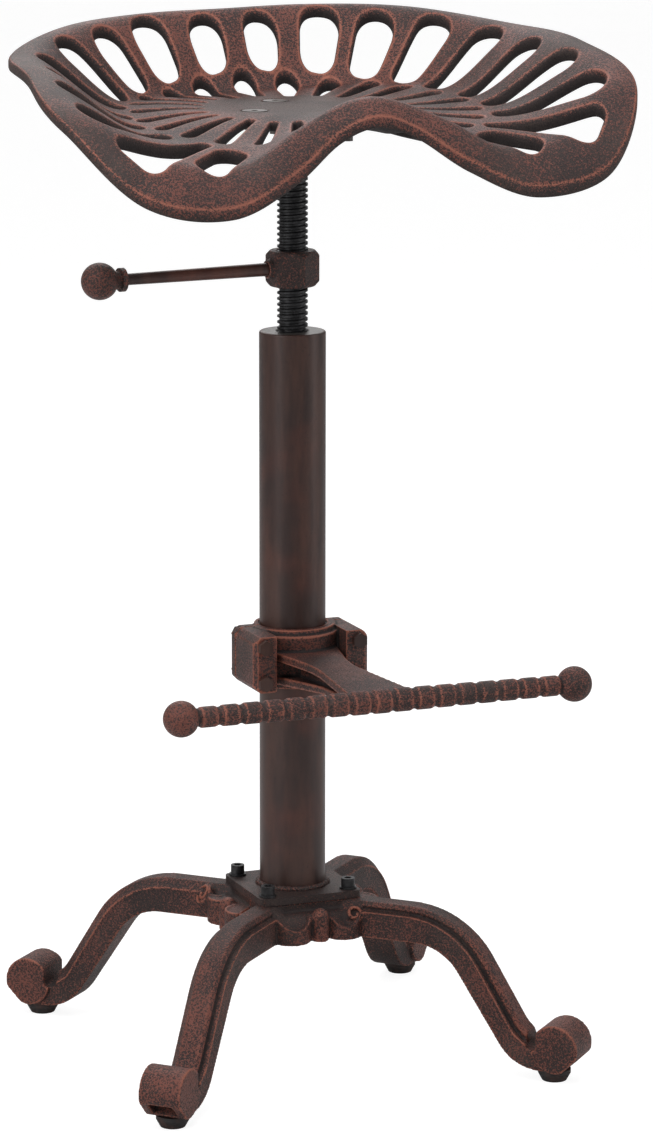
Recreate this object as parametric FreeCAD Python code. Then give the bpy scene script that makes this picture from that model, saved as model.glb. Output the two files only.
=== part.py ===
import FreeCAD, Part
import math
import os

V = FreeCAD.Vector

# A tractor seat stool: a cast dish seat on a coarse screw, a lock nut with a lever, a tube column
# with a clamped footrest, and two castings with four scroll legs. Millimetres, +Z up, the front of
# the stool faces -Y, the origin is on the floor under the column.

# Fits and clearances
FIT = 0.05
GAP = 0.3
THREAD_GAP = 0.35

# Screw
PITCH = 25.4 / 6
SCREW_CREST = 11.1
THREAD_DEPTH = 1.6
SCREW_ROOT = SCREW_CREST - THREAD_DEPTH
GROOVE_BOTTOM = 1.2
GROOVE_FLARE = 0.96

# Base castings
LEG_TOP = 119.0
LEG_DEPTH = 26.0
LEG_BOTTOM = LEG_TOP - LEG_DEPTH
HUB_STEP = 6.0
HUB_T = 19.5
HUB_TOP = LEG_TOP - HUB_STEP
HUB_BOTTOM = HUB_TOP - HUB_T
HUB_PAD = 77.0
LEG_WIDTH = 26.0
LEG_BEVEL = 6.0
LEG_SHOULDER_R = 136.0
LEG_NOTCH_R = 186.0
LEG_ARMPIT_R = 124.5
LEG_HEEL_R = 180.5
SCROLL_R = 213.0
SCROLL_RADIUS = 18.0
EYE_R = 194.5
EYE_Z = 28.0
EYE_HALF = 4.6
SCROLL_WIDTH = 32.0
FOOT_RADIUS = 208.0
PAD_HEIGHT = 8.5
SEAM_Y = -14.0
SEAM_LEAN = 24.0
GROOVE_DEPTH = 4.5
GROOVE_DOWN = 3.0
GROOVE_BAND = 3.5

# Column
TUBE_R = 24.15
TUBE_WALL = 2.5
PLATE_T = 5.5
PLATE_SEAT = 0.5
PLATE_Z = LEG_TOP + PLATE_SEAT + PLATE_T
PLATE_SIDE = 79.0
COLUMN_TOP = 536.5
PLUG_LENGTH = 36.0
RIM_ROUND = 1.5
WELD_LEG = 3.85
WELD_R = TUBE_R + WELD_LEG
WELD_H = 6.5

# Base fasteners
PLATE_SCREW_AT = 31.5
PLATE_SCREW_D = 6.0
PLATE_SCREW_HEAD = 10.0
PLATE_SCREW_HEAD_H = 6.5
PLATE_WASHER_D = 12.5
PLATE_WASHER_T = 1.6
PLATE_SCREW_DEPTH = 18.0
PAD_SCREW_D = 5.0

# Seat
SEAT_OVER_COLUMN = 161.9
HUB_Z = COLUMN_TOP + SEAT_OVER_COLUMN
SEAT_T = 7.0
SEAT_WALL_ADD = 3.5
SEAT_TILT = 1.4
SEAT_SPOT_FACE = 0.3
SEAT_X = 1.0
SEAT_Y = 1.0
SEAT_SCREW_CIRCLE = 40.0
SEAT_SCREW_TURN = -3.0
SEAT_SCREW_D = 8.0
SINK_D = 20.0
FLANGE_R = 52.0
FLANGE_T = 6.0

# Seat shape: angle from +X, rim radius, then heights over the hub of the ring, the crest, the edge
SEAT_SHAPE = [
    (90, 146.5, 2, 59, 58),
    (65, 157.5, 2, 59, 58),
    (40, 176, 4, 56, 55),
    (15, 201, 4, 46, 44),
    (-10, 214, 0, 39, 38),
    (-30, 246, -5, 20, 14),
    (-45, 242, -9, -13, -35),
    (-58, 212, -10, -20, -46),
    (-70, 185, -3, 3, -26),
    (-80, 167, 2, 17, -2),
    (-90, 164.5, 4, 23, 8),
]
# Outer slots of the right half: angle and radius inside, width there, angle and radius outside, width there
OUTER_SLOTS = [
    (80, 106.5, 21, 80, 134, 28.5),
    (60, 112, 23, 60.5, 147, 33),
    (43.5, 115.5, 21, 43.5, 154.5, 32),
    (28.5, 120, 19.5, 28, 170.5, 29.5),
    (13.5, 120, 17, 12.5, 182, 30),
    (-4.5, 126.5, 16, -3.8, 187, 31),
    (-18.5, 136, 14.5, -17.3, 204, 27.5),
    (-32, 144.5, 16, -29.7, 224, 35),
]
# Fan slots round the hub: angle, inner and outer radius, outer width
FAN_SLOTS = [
    (90, 65, 105, 19.5),
    (71, 64, 107.5, 19),
    (53.5, 66, 109, 18),
    (37, 65, 114, 16.5),
    (22, 65, 116, 15),
    (4.5, 67, 119, 13.5),
    (-11.5, 72, 128, 12.5),
    (-25, 77, 135, 11.5),
    (-37, 81, 140, 11),
    (-48.5, 81, 142, 10.5),
    (-60, 81, 138, 10.5),
    (-71, 85, 128, 10.5),
]
FAN_TIP = 5.0
CORNER_OPENING = [(186, -136), (160, -164), (103, -112.5), (104.5, -101)]
LOBE_HOLE = [(90, -127), (123.5, -159)]
LOBE_HOLE_W = 23.0

# Screw set: travel in whole turns
NUT_WALL = 5.9
NUT_AF = 2 * (SCREW_CREST + NUT_WALL)
NUT_H = 26.0
NUT_DOWN_TURNS = 7.5
WASHER_T = 2.0
WASHER_PROUD = 0.5
LEVER_ANGLE = 186.0
LEVER_REACH = 152.6
LEVER_R_NUT = 4.8
LEVER_R_END = 4.1
BALL_R = 13.25
COLLAR_R = 8.5
ROD_IN_COLUMN = 86.5
ROD_BOTTOM = COLUMN_TOP - ROD_IN_COLUMN
GUIDE_H = 20.0
JOURNAL_R = 8.0

# Footrest
REST_Z = 299.8
LINER_T = 1.0
CLAMP_BORE_R = TUBE_R + LINER_T + 2 * FIT
CLAMP_H = 41.5
CLAMP_WALL = 8.75
CLAMP_REAR_WALL = 4.95
EAR_GAP = 1.75
EAR_REACH = 13.75
BOLT_OFF = 11.25
BOLT_EDGE = 8.0
BOLT_END = 7.5
SLEEVE_R = CLAMP_BORE_R + CLAMP_WALL
REAR_SLEEVE_R = CLAMP_BORE_R + CLAMP_REAR_WALL
EAR_INNER = CLAMP_BORE_R + EAR_GAP
BOLT_X = CLAMP_BORE_R + BOLT_OFF
BOLT_UP = CLAMP_H / 2 - BOLT_END
CLAMP_HALF = BOLT_X + BOLT_EDGE
CLAMP_FRONT = CLAMP_BORE_R + EAR_REACH
CLAMP_REAR = 8.5
CLAMP_PART = 0.6
LIP = 1.0
BOLT_D = 6.0
BOLT_AF = 10.0
BAR_Y = -171.2
BAR_UP = -0.2
BAR_Z = REST_Z + BAR_UP
BAR_HALF = 148.0
BAR_R = 8.6
BAR_END_R = 7.3
BAR_GROOVE = 1.1
BAR_BEADS = 17
BAR_BALL_R = 12.75
ARM_UP = 6.2
ARM_TOP = REST_Z + ARM_UP


def turned(shape, degrees):
    """A copy turned about the column axis."""
    copy = shape.copy()
    copy.rotate(V(0, 0, 0), V(0, 0, 1), degrees)
    return copy


def mirrored(shape):
    """A copy mirrored left to right."""
    return shape.mirror(V(0, 0, 0), V(1, 0, 0))


def fused(shapes):
    """One solid from many that meet."""
    return shapes[0].multiFuse(shapes[1:]).removeSplitter()


def tube(outer, inner, z0, z1):
    """A ring between two heights."""
    body = Part.makeCylinder(outer, z1 - z0, V(0, 0, z0))
    return body.cut(Part.makeCylinder(inner, z1 - z0 + 2, V(0, 0, z0 - 1)))


def rounded(points, radii, place):
    """A closed wire through 2D points with each corner rounded; place turns (u, v) into 3D."""
    n = len(points)
    edges = []
    corners = []
    for i in range(n):
        p, before, after = points[i], points[i - 1], points[(i + 1) % n]
        room_a = math.dist(p, before) * (0.49 if radii[i - 1] else 0.98)
        room_b = math.dist(p, after) * (0.49 if radii[(i + 1) % n] else 0.98)
        ua = unit(p, before)
        ub = unit(p, after)
        half = math.acos(ua[0] * ub[0] + ua[1] * ub[1]) / 2
        back = min(radii[i] / math.tan(half), room_a, room_b)
        deep = back * (1 - math.sin(half)) / math.cos(half)
        middle = unit((0, 0), (ua[0] + ub[0], ua[1] + ub[1]))
        start = place(p[0] + ua[0] * back, p[1] + ua[1] * back)
        end = place(p[0] + ub[0] * back, p[1] + ub[1] * back)
        if back > 0:
            through = place(p[0] + middle[0] * deep, p[1] + middle[1] * deep)
            edges.append(Part.Arc(start, through, end).toShape())
        corners.append((start, end))
    for i in range(n):
        a = corners[i][1]
        b = corners[(i + 1) % n][0]
        if a.distanceToPoint(b) > 1e-6:
            edges.append(Part.LineSegment(a, b).toShape())
    return Part.Wire(Part.__sortEdges__(edges))


def unit(a, b):
    """The direction from a to b."""
    size = math.dist(a, b)
    return ((b[0] - a[0]) / size, (b[1] - a[1]) / size)


def prism(points, radii, z0, z1):
    """An upright prism with rounded corners."""
    wire = rounded(points, radii, lambda u, v: V(u, v, z0))
    return Part.Face(wire).extrude(V(0, 0, z1 - z0))


def hexagon(flats, z0, z1, turn=0.0):
    """An upright hexagonal prism; turn points one flat."""
    corner = flats / math.sqrt(3)
    points = []
    for k in range(6):
        a = math.radians(turn + 30 + 60 * k)
        points.append(V(corner * math.cos(a), corner * math.sin(a), z0))
    return Part.Face(Part.makePolygon(points + points[:1])).extrude(V(0, 0, z1 - z0))


def groove_width(radius):
    """Width of the thread groove at a radius: it opens outwards."""
    return GROOVE_BOTTOM + GROOVE_FLARE * (radius - SCREW_ROOT)


def helical(r_in, r_out, w_in, w_out, z0, z1, phase):
    """A right-handed helical rib with a trapezoid section that covers z0 to z1 and runs past both."""
    start = ROD_BOTTOM + phase
    first = start + PITCH * (math.floor((z0 - start) / PITCH) - 1)
    turns = math.ceil((z1 - first) / PITCH) + 1
    line = Part.makeLongHelix(PITCH, turns * PITCH, r_in, 0)
    line.translate(V(0, 0, first))
    section = Part.makePolygon([
        V(r_in, 0, first - w_in / 2),
        V(r_out, 0, first - w_out / 2),
        V(r_out, 0, first + w_out / 2),
        V(r_in, 0, first + w_in / 2),
        V(r_in, 0, first - w_in / 2),
    ])
    rib = Part.Wire(line.Edges).makePipeShell([section], True, True)
    if rib.Volume < 0:
        rib.reverse()
    return rib


def outside_thread(z0, z1):
    """The screw: a cylinder with a helical groove."""
    reach = SCREW_CREST + 1.0
    groove = helical(SCREW_ROOT, reach, groove_width(SCREW_ROOT), groove_width(reach), z0, z1, 0)
    return Part.makeCylinder(SCREW_CREST, z1 - z0, V(0, 0, z0)).cut(groove)


def inside_thread(body, z0, z1):
    """Bore a body for the screw, with its rib's track cut wider by the thread clearance."""
    r_in = SCREW_ROOT + THREAD_GAP - 0.5
    r_out = SCREW_CREST + THREAD_GAP
    w_in = PITCH - groove_width(r_in) + 2 * THREAD_GAP
    w_out = PITCH - groove_width(r_out) + 2 * THREAD_GAP
    track = helical(r_in, r_out, w_in, w_out, z0, z1, PITCH / 2)
    bored = body.cut(Part.makeCylinder(SCREW_ROOT + THREAD_GAP, z1 - z0 + 2, V(0, 0, z0 - 1)))
    return bored.cut(track)


def socket_screw(d, head, head_h, length):
    """A socket head screw, head up, with its seat at height 0."""
    body = Part.makeCylinder(head / 2, head_h).fuse(Part.makeCylinder(d / 2, length, V(0, 0, -length)))
    body = body.removeSplitter()
    return body.cut(hexagon(0.5 * head, 0.45 * head_h, head_h + 1))


# Base castings

def leg():
    """One scroll leg along +X: a bevelled band that drops, and curls up round an eye into a wide scroll."""
    low = PAD_HEIGHT
    scroll_z = low + SCROLL_RADIUS
    top_line = [(12, LEG_TOP), (LEG_SHOULDER_R, LEG_TOP), (LEG_NOTCH_R, 38), (SCROLL_R - 8, 25)]
    foot_line = [(SCROLL_R, low), (LEG_HEEL_R, low), (LEG_ARMPIT_R, LEG_BOTTOM), (12, LEG_BOTTOM)]
    outline = top_line + [(SCROLL_R, 20)] + foot_line
    wire = rounded(outline, [0, 72, 30, 0, 0, 0, 36, 40, 0], lambda u, v: V(u, -LEG_WIDTH / 2, v))
    band = Part.Face(wire).extrude(V(0, LEG_WIDTH, 0))
    crown = Part.makePolygon([V(u, 0, v) for u, v in top_line])
    sole = Part.makePolygon([V(u, 0, v) for u, v in foot_line])
    crown_edges = []
    for edge in band.Edges:
        middle = edge.valueAt((edge.FirstParameter + edge.LastParameter) / 2)
        spot_2d = Part.Vertex(middle.x, 0, middle.z)
        near = spot_2d.distToShape(crown)[0]
        on_flank = abs(abs(middle.y) - LEG_WIDTH / 2) < 1e-6
        if on_flank and near < spot_2d.distToShape(sole)[0] and 13 < middle.x < SCROLL_R - 8.1:
            crown_edges.append(edge)
    band = band.makeChamfer(LEG_BEVEL, crown_edges)
    centre = V(SCROLL_R, -SCROLL_WIDTH / 2, scroll_z)
    scroll = Part.makeCylinder(SCROLL_RADIUS, SCROLL_WIDTH, centre, V(0, 1, 0))
    facet = [(SCROLL_R + 1.8, low - 3), (SCROLL_R + 20, scroll_z - 3), (SCROLL_R + 28, low - 3)]
    wedge = Part.makePolygon([V(u, -30, v) for u, v in facet + facet[:1]])
    wedge = Part.Face(wedge).extrude(V(0, 60, 0))
    pocket = Part.makeBox(14, 19, 13, V(-7, -9.5, -6.5))
    pocket.rotate(V(0, 0, 0), V(0, 1, 0), 44)
    pocket.translate(V(SCROLL_R + 12.2, 0, scroll_z - 11.3))
    eye = Part.makeCylinder(EYE_HALF, 60, V(EYE_R, -30, EYE_Z), V(0, 1, 0))
    eye = eye.fuse(Part.makeBox(2 * EYE_HALF, 60, 30, V(EYE_R - EYE_HALF, -30, EYE_Z))).removeSplitter()
    body = fused([band, scroll.cut(wedge)]).cut(pocket).cut(eye)
    screw_hole = Part.makeCylinder(PAD_SCREW_D / 2 + FIT, 14, V(FOOT_RADIUS, 0, low - 1))
    return body.cut(screw_hole)


def leg_groove(side):
    """The channel sunk in one flank of a leg just under its crown, from the hub to the eye."""
    lines = []
    for down in (GROOVE_DOWN, GROOVE_DOWN + GROOVE_BAND):
        lines.append([
            (52, LEG_TOP - down), (LEG_SHOULDER_R - 0.558 * down, LEG_TOP - down),
            (LEG_NOTCH_R - 0.74 * down, 38 - 0.705 * down), (194, 32.5 - 1.21 * down),
        ])
    y = side * LEG_WIDTH / 2
    low = GROOVE_DOWN + GROOVE_BAND
    radii = [1.5, 72 - GROOVE_DOWN, 30 + GROOVE_DOWN, 0, 0, 30 + low, 72 - low, 1.5]
    wire = rounded(lines[0] + lines[1][::-1], radii, lambda u, v: V(u, y - side * GROOVE_DEPTH, v))
    return Part.Face(wire).extrude(V(0, side * (GROOVE_DEPTH + 1), 0))


def ornament():
    """The bosses on the front of the hub: a rimmed half disc, a domed post and a scroll with a ring."""
    height = HUB_TOP - HUB_BOTTOM
    disc = Part.makeCylinder(14.5, height, V(-18.5, -45, HUB_BOTTOM))
    smile = Part.makeTorus(13.4, 1.2, V(-18.5, -45, HUB_TOP - 0.2))
    smile = smile.common(Part.makeBox(60, 40, 40, V(-50, -85, HUB_TOP - 20)))
    post = Part.makeCylinder(6.5, height - 2, V(2.3, -50, HUB_BOTTOM))
    dome = Part.makeSphere(6.5, V(2.3, -50, HUB_TOP - 2))
    boss = Part.makeCylinder(13.5, height - 0.5, V(22.5, -44.5, HUB_BOTTOM))
    ring = Part.makeTorus(5.8, 1.3, V(28.6, -48, HUB_TOP - 0.5))
    return fused([disc, smile, post, dome, boss, ring])


def base_castings():
    """Hub, ornaments and four legs, parted along the front legs' rear flanks and under the plate."""
    pad_top = PLATE_Z - PLATE_T
    half = HUB_PAD / 2
    core = Part.makeBox(HUB_PAD, HUB_PAD, pad_top - HUB_BOTTOM, V(-half, -half, HUB_BOTTOM))
    web = prism([(-46, -46), (46, -46), (46, 46), (-46, 46)], [14] * 4, HUB_BOTTOM, HUB_TOP)
    front = ornament()
    rear = turned(front, 180)
    left = turned(mirrored(front), -90)
    right = mirrored(left)
    legs = []
    one = leg()
    for k, angle in enumerate((45, 135, 225, 315)):
        grooved = one.cut(leg_groove(1 if k % 2 == 0 else -1))
        legs.append(turned(grooved, angle))
    whole = fused([core, web, front, rear, left, right] + legs)
    for x in (-1, 1):
        for y in (-1, 1):
            bottom = V(x * PLATE_SCREW_AT, y * PLATE_SCREW_AT, pad_top - PLATE_SCREW_DEPTH - 1)
            whole = whole.cut(Part.makeCylinder(PLATE_SCREW_D / 2 + FIT, PLATE_SCREW_DEPTH + 3, bottom))
    far = 260.0

    def region(shift):
        """Everything in front of the seam, grown by shift."""
        y = SEAM_Y + shift
        lean = SEAM_LEAN + shift * math.sqrt(2)
        turn_x = lean - y
        points = [(-far, lean - far), (-turn_x, y), (turn_x, y), (far, lean - far)]
        points += [(far, -2 * far), (-far, -2 * far)]
        flat = Part.makePolygon([V(u, v, -5) for u, v in points + points[:1]])
        return Part.Face(flat).extrude(V(0, 0, 200))
    return whole.common(region(0)), whole.cut(region(GAP))


def foot_pad():
    """A rubber pad under a scroll, with a recess for its screw."""
    side = Part.makeCone(9.0, 12.0, PAD_HEIGHT - 3, V(FOOT_RADIUS, 0, 0))
    rim = Part.makeCylinder(12.0, 3, V(FOOT_RADIUS, 0, PAD_HEIGHT - 3))
    pad = side.fuse(rim).removeSplitter()
    pad = pad.cut(Part.makeCylinder(5.6, 4.5, V(FOOT_RADIUS, 0, -1)))
    return pad.cut(Part.makeCylinder(PAD_SCREW_D / 2 + FIT, 20, V(FOOT_RADIUS, 0, -1)))


def foot_screw():
    """The screw that holds a pad, head down in its recess."""
    head = Part.makeCylinder(5.0, 2.5, V(FOOT_RADIUS, 0, 1.0))
    shank = Part.makeCylinder(PAD_SCREW_D / 2, 17.5, V(FOOT_RADIUS, 0, 3.0))
    cross = Part.makeBox(6, 1.2, 1.4, V(FOOT_RADIUS - 3, -0.6, 0.5))
    return head.fuse(shank).removeSplitter().cut(cross)


# Column

def column_plate():
    """The square plate that the tube is welded to."""
    half = PLATE_SIDE / 2
    corners = [(-half, -half), (half, -half), (half, half), (-half, half)]
    plate = prism(corners, [5] * 4, PLATE_Z - PLATE_T, PLATE_Z)
    for x in (-1, 1):
        for y in (-1, 1):
            spot = V(x * PLATE_SCREW_AT, y * PLATE_SCREW_AT, PLATE_Z - PLATE_T - 1)
            plate = plate.cut(Part.makeCylinder(PLATE_SCREW_D / 2 + GAP, PLATE_T + 2, spot))
    return plate


def column_tube():
    """The column tube with a rounded top rim."""
    body = tube(TUBE_R, TUBE_R - TUBE_WALL, PLATE_Z, COLUMN_TOP)
    rim = []
    for edge in body.Edges:
        if edge.BoundBox.ZMin > COLUMN_TOP - 0.01 and edge.BoundBox.XMax > TUBE_R - 0.1:
            rim.append(edge)
    return body.makeFillet(RIM_ROUND, rim)


def column_weld():
    """The weld bead round the foot of the tube."""
    bead = Part.makeCone(WELD_R, TUBE_R + 0.6, WELD_H, V(0, 0, PLATE_Z))
    return bead.cut(Part.makeCylinder(TUBE_R + FIT, WELD_H + 2, V(0, 0, PLATE_Z - 1)))


def column_plug():
    """The threaded plug in the top of the tube."""
    z0 = COLUMN_TOP - PLUG_LENGTH
    body = Part.makeCylinder(TUBE_R - TUBE_WALL - FIT, PLUG_LENGTH, V(0, 0, z0))
    body = inside_thread(body, z0, COLUMN_TOP)
    lead = Part.makeCone(SCREW_CREST - 1.2, SCREW_CREST + 1.3, 2.5, V(0, 0, COLUMN_TOP - 2.5))
    return body.cut(lead)


# Screw, guide and lock nut

def flange_z():
    """Underside of the seat's hub, where the flange bears."""
    return HUB_Z - SEAT_T + SEAT_SPOT_FACE


def threaded_rod():
    """The height screw, with a plain journal below for the guide bush and a tapped hole in it."""
    top = flange_z() - FLANGE_T
    screw = outside_thread(ROD_BOTTOM, top)
    neck = Part.makeCylinder(SCREW_ROOT + 0.3, FLANGE_T - 0.5, V(0, 0, top))
    journal = Part.makeCylinder(JOURNAL_R, GUIDE_H + GAP, V(0, 0, ROD_BOTTOM - GUIDE_H - GAP))
    body = screw.fuse(neck).fuse(journal).removeSplitter()
    return body.cut(Part.makeCylinder(4.0 + FIT, 26, V(0, 0, ROD_BOTTOM - GUIDE_H - GAP - 1)))


def guide_bush():
    """A plastic bush that runs in the tube on the screw's journal."""
    z1 = ROD_BOTTOM - FIT
    return tube(TUBE_R - TUBE_WALL - FIT, JOURNAL_R + FIT, z1 - GUIDE_H + FIT, z1)


def rod_end_washer():
    """The disc that keeps the guide bush on."""
    z1 = ROD_BOTTOM - GUIDE_H - GAP
    return tube(15.0, 4.0 + GAP, z1 - 3, z1)


def rod_end_screw():
    """The screw under that disc."""
    screw = socket_screw(8.0, 13.0, 8.0, 24.0)
    screw.rotate(V(0, 0, 0), V(1, 0, 0), 180)
    screw.translate(V(0, 0, ROD_BOTTOM - GUIDE_H - GAP - 3))
    return screw


def nut_bottom():
    """Underside of the lock nut: a whole number of half turns over the column's top."""
    return COLUMN_TOP + NUT_DOWN_TURNS * PITCH + WASHER_PROUD + GAP


def lock_nut():
    """The cast hexagon nut, chamfered at both ends, with its lever's socket and a washer recess."""
    z0 = nut_bottom()
    z1 = z0 + NUT_H
    body = hexagon(NUT_AF, z0, z1, LEVER_ANGLE)
    corner = NUT_AF / math.sqrt(3)
    face_r = NUT_AF / 2 - 0.8
    keep = Part.makeCone(face_r, corner + 0.2, 4.0, V(0, 0, z0))
    keep = keep.fuse(Part.makeCylinder(corner + 0.2, NUT_H - 8.0, V(0, 0, z0 + 4.0)))
    keep = keep.fuse(Part.makeCone(corner + 0.2, face_r, 4.0, V(0, 0, z1 - 4.0)))
    body = body.common(keep.removeSplitter())
    boss_at = V(NUT_AF / 2 - 1.0, 0, z0 + NUT_H / 2)
    boss = Part.makeCone(8.2, LEVER_R_NUT + 1.6, 5.0, boss_at, V(1, 0, 0))
    body = body.fuse(turned(boss, LEVER_ANGLE)).removeSplitter()
    body = inside_thread(body, z0, z1)
    body = body.cut(Part.makeCylinder(washer_r() + GAP, WASHER_T, V(0, 0, z0 - WASHER_PROUD)))
    start = V(lever_start() - GAP, 0, z0 + NUT_H / 2)
    socket = Part.makeCylinder(LEVER_R_NUT + FIT, 14, start, V(1, 0, 0))
    return body.cut(turned(socket, LEVER_ANGLE))


def washer_r():
    """Outer radius of the thrust washer in the nut."""
    return SCREW_CREST + 2.6


def lever_start():
    """Where the lever ends inside the nut's wall."""
    return SCREW_CREST + THREAD_GAP + 1.6


def nut_washer():
    """A thin loose thrust washer let into the nut's underside, a little proud of it."""
    z0 = nut_bottom() - WASHER_PROUD
    return tube(washer_r(), SCREW_CREST + GAP, z0, z0 + WASHER_T - GAP)


def lever_rod():
    """The tapered lever, screwed into the nut, with a spigot for the collar and the ball."""
    z = nut_bottom() + NUT_H / 2
    x1 = NUT_AF / 2 + 4
    root = Part.makeCylinder(LEVER_R_NUT, x1 - lever_start(), V(lever_start(), 0, z), V(1, 0, 0))
    x2 = LEVER_REACH - BALL_R - 2
    shaft = Part.makeCone(LEVER_R_NUT, LEVER_R_END, x2 - x1, V(x1, 0, z), V(1, 0, 0))
    spigot = Part.makeCylinder(3.0, BALL_R + 2, V(x2, 0, z), V(1, 0, 0))
    return turned(root.fuse(shaft).fuse(spigot).removeSplitter(), LEVER_ANGLE)


def lever_collar():
    """The round collar against the ball."""
    z = nut_bottom() + NUT_H / 2
    x2 = LEVER_REACH - BALL_R - 2 - 3.5
    body = Part.makeCylinder(COLLAR_R, 3.5, V(x2, 0, z), V(1, 0, 0))
    hole = Part.makeCylinder(LEVER_R_END + 0.2, 6, V(x2 - 1, 0, z), V(1, 0, 0))
    return turned(body.cut(hole), LEVER_ANGLE)


def lever_ball():
    """The ball on the lever's end."""
    z = nut_bottom() + NUT_H / 2
    ball = Part.makeSphere(BALL_R, V(LEVER_REACH, 0, z))
    neck = Part.makeCylinder(6.2, 4, V(LEVER_REACH - BALL_R - 2, 0, z), V(1, 0, 0))
    hole = Part.makeCylinder(3.0 + FIT, BALL_R + 3, V(LEVER_REACH - BALL_R - 3, 0, z), V(1, 0, 0))
    return turned(ball.fuse(neck).removeSplitter().cut(hole), LEVER_ANGLE)


# Seat

def blend(x, a, b):
    """Smooth step from 0 at a to 1 at b."""
    t = min(1.0, max(0.0, (x - a) / (b - a)))
    return t * t * (3 - 2 * t)


def seat_station(degrees):
    """Rim radius and the three heights at an angle, by a smooth curve through SEAT_SHAPE."""
    t = abs((90 - degrees + 180) % 360 - 180)
    at = [90 - row[0] for row in SEAT_SHAPE]
    i = max(k for k in range(len(at) - 1) if at[k] <= t + 1e-9)
    h = at[i + 1] - at[i]
    u = (t - at[i]) / h
    values = []
    for c in range(1, 5):
        y0 = SEAT_SHAPE[i][c]
        y1 = SEAT_SHAPE[i + 1][c]
        m0 = seat_slope(at, i, c)
        m1 = seat_slope(at, i + 1, c)
        values.append(
            (2 * u**3 - 3 * u**2 + 1) * y0 + (u**3 - 2 * u**2 + u) * h * m0
            + (-2 * u**3 + 3 * u**2) * y1 + (u**3 - u**2) * h * m1
        )
    return values


def seat_slope(at, i, c):
    """Slope of a column at a station; it is level on the seat's mirror plane."""
    if i == 0 or i == len(at) - 1:
        return 0.0
    return (SEAT_SHAPE[i + 1][c] - SEAT_SHAPE[i - 1][c]) / (at[i + 1] - at[i - 1])


def seat_height(x, y):
    """Top surface of the seat: hub, ring, wall to the crest, rolled edge, the bowl a little aslant."""
    px = x / SEAT_X
    py = y / SEAT_Y
    rim, ring, crest, edge = seat_station(math.degrees(math.atan2(py, px)))
    s = math.hypot(px, py) / rim
    roll = min(1.2, max(0.0, (s - 0.86) / 0.14)) ** 2
    rise = ring * blend(s, 0.25, 0.65) + (crest - ring) * blend(s, 0.6, 0.95) + (edge - crest) * roll
    rise += math.tan(math.radians(SEAT_TILT)) * px * blend(s, 0.38, 0.6)
    return HUB_Z + rise


def spot(radius, degrees):
    """A point of the seat's plan."""
    a = math.radians(degrees)
    return (SEAT_X * radius * math.cos(a), SEAT_Y * radius * math.sin(a))


def beside(p, toward, side, width):
    """A point half a rib off p, square to the rib that runs toward another point."""
    dx = toward[0] - p[0]
    dy = toward[1] - p[1]
    size = math.hypot(dx, dy)
    return (p[0] - dy / size * side * width / 2, p[1] + dx / size * side * width / 2)


def slot_plan(inner, width_in, outer, width_out):
    """Corners and radii of a tapered slot with round ends."""
    corners = [
        beside(inner, outer, -1, width_in), beside(outer, inner, 1, width_out),
        beside(outer, inner, -1, width_out), beside(inner, outer, 1, width_in),
    ]
    radii = [0.46 * width_in, 0.46 * width_out, 0.46 * width_out, 0.46 * width_in]
    return corners, radii


def seat_openings():
    """Plans of all openings of the right half and of the one on the mirror plane."""
    plans = []
    for angle_in, r_in, w_in, angle_out, r_out, w_out in OUTER_SLOTS:
        plans.append(slot_plan(spot(r_in, angle_in), w_in, spot(r_out, angle_out), w_out))
    for angle, r_in, r_out, w_out in FAN_SLOTS:
        plans.append(slot_plan(spot(r_in, angle), FAN_TIP, spot(r_out, angle), w_out))
    corner = [(SEAT_X * x, SEAT_Y * y) for x, y in CORNER_OPENING]
    plans.append((corner, [9, 12, 4, 4]))
    a, b = [(SEAT_X * x, SEAT_Y * y) for x, y in LOBE_HOLE]
    plans.append(slot_plan(a, LOBE_HOLE_W, b, LOBE_HOLE_W))
    return plans


def seat_under(x, y):
    """Underside of the seat: the wall is SEAT_T thick at the hub, more in the bowl and less again at the rim."""
    px = x / SEAT_X
    py = y / SEAT_Y
    s = math.hypot(px, py) / seat_station(math.degrees(math.atan2(py, px)))[0]
    more = SEAT_WALL_ADD * (blend(s, 0.35, 0.65) - 0.6 * blend(s, 0.86, 1.0))
    return seat_height(x, y) - SEAT_T - more


def below(height, spread, down):
    """The solid below a surface over the seat's plan, spread past it and running down."""
    columns = 49
    rows = 41
    x_far = 262.0 * SEAT_X + spread
    y_low = -225.0 * SEAT_Y - spread
    y_high = 175.0 * SEAT_Y + spread
    grid = []
    for i in range(columns):
        x = -x_far + 2 * x_far * i / (columns - 1)
        line = []
        for j in range(rows):
            y = y_low + (y_high - y_low) * j / (rows - 1)
            line.append(V(x, y, height(x, y)))
        grid.append(line)
    surface = Part.BSplineSurface()
    surface.interpolate(grid)
    body = surface.toShape().extrude(V(0, 0, -down))
    if body.ShapeType != "Solid":
        body = Part.Solid(body)
    if body.Volume < 0:
        body.reverse()
    return body


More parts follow.
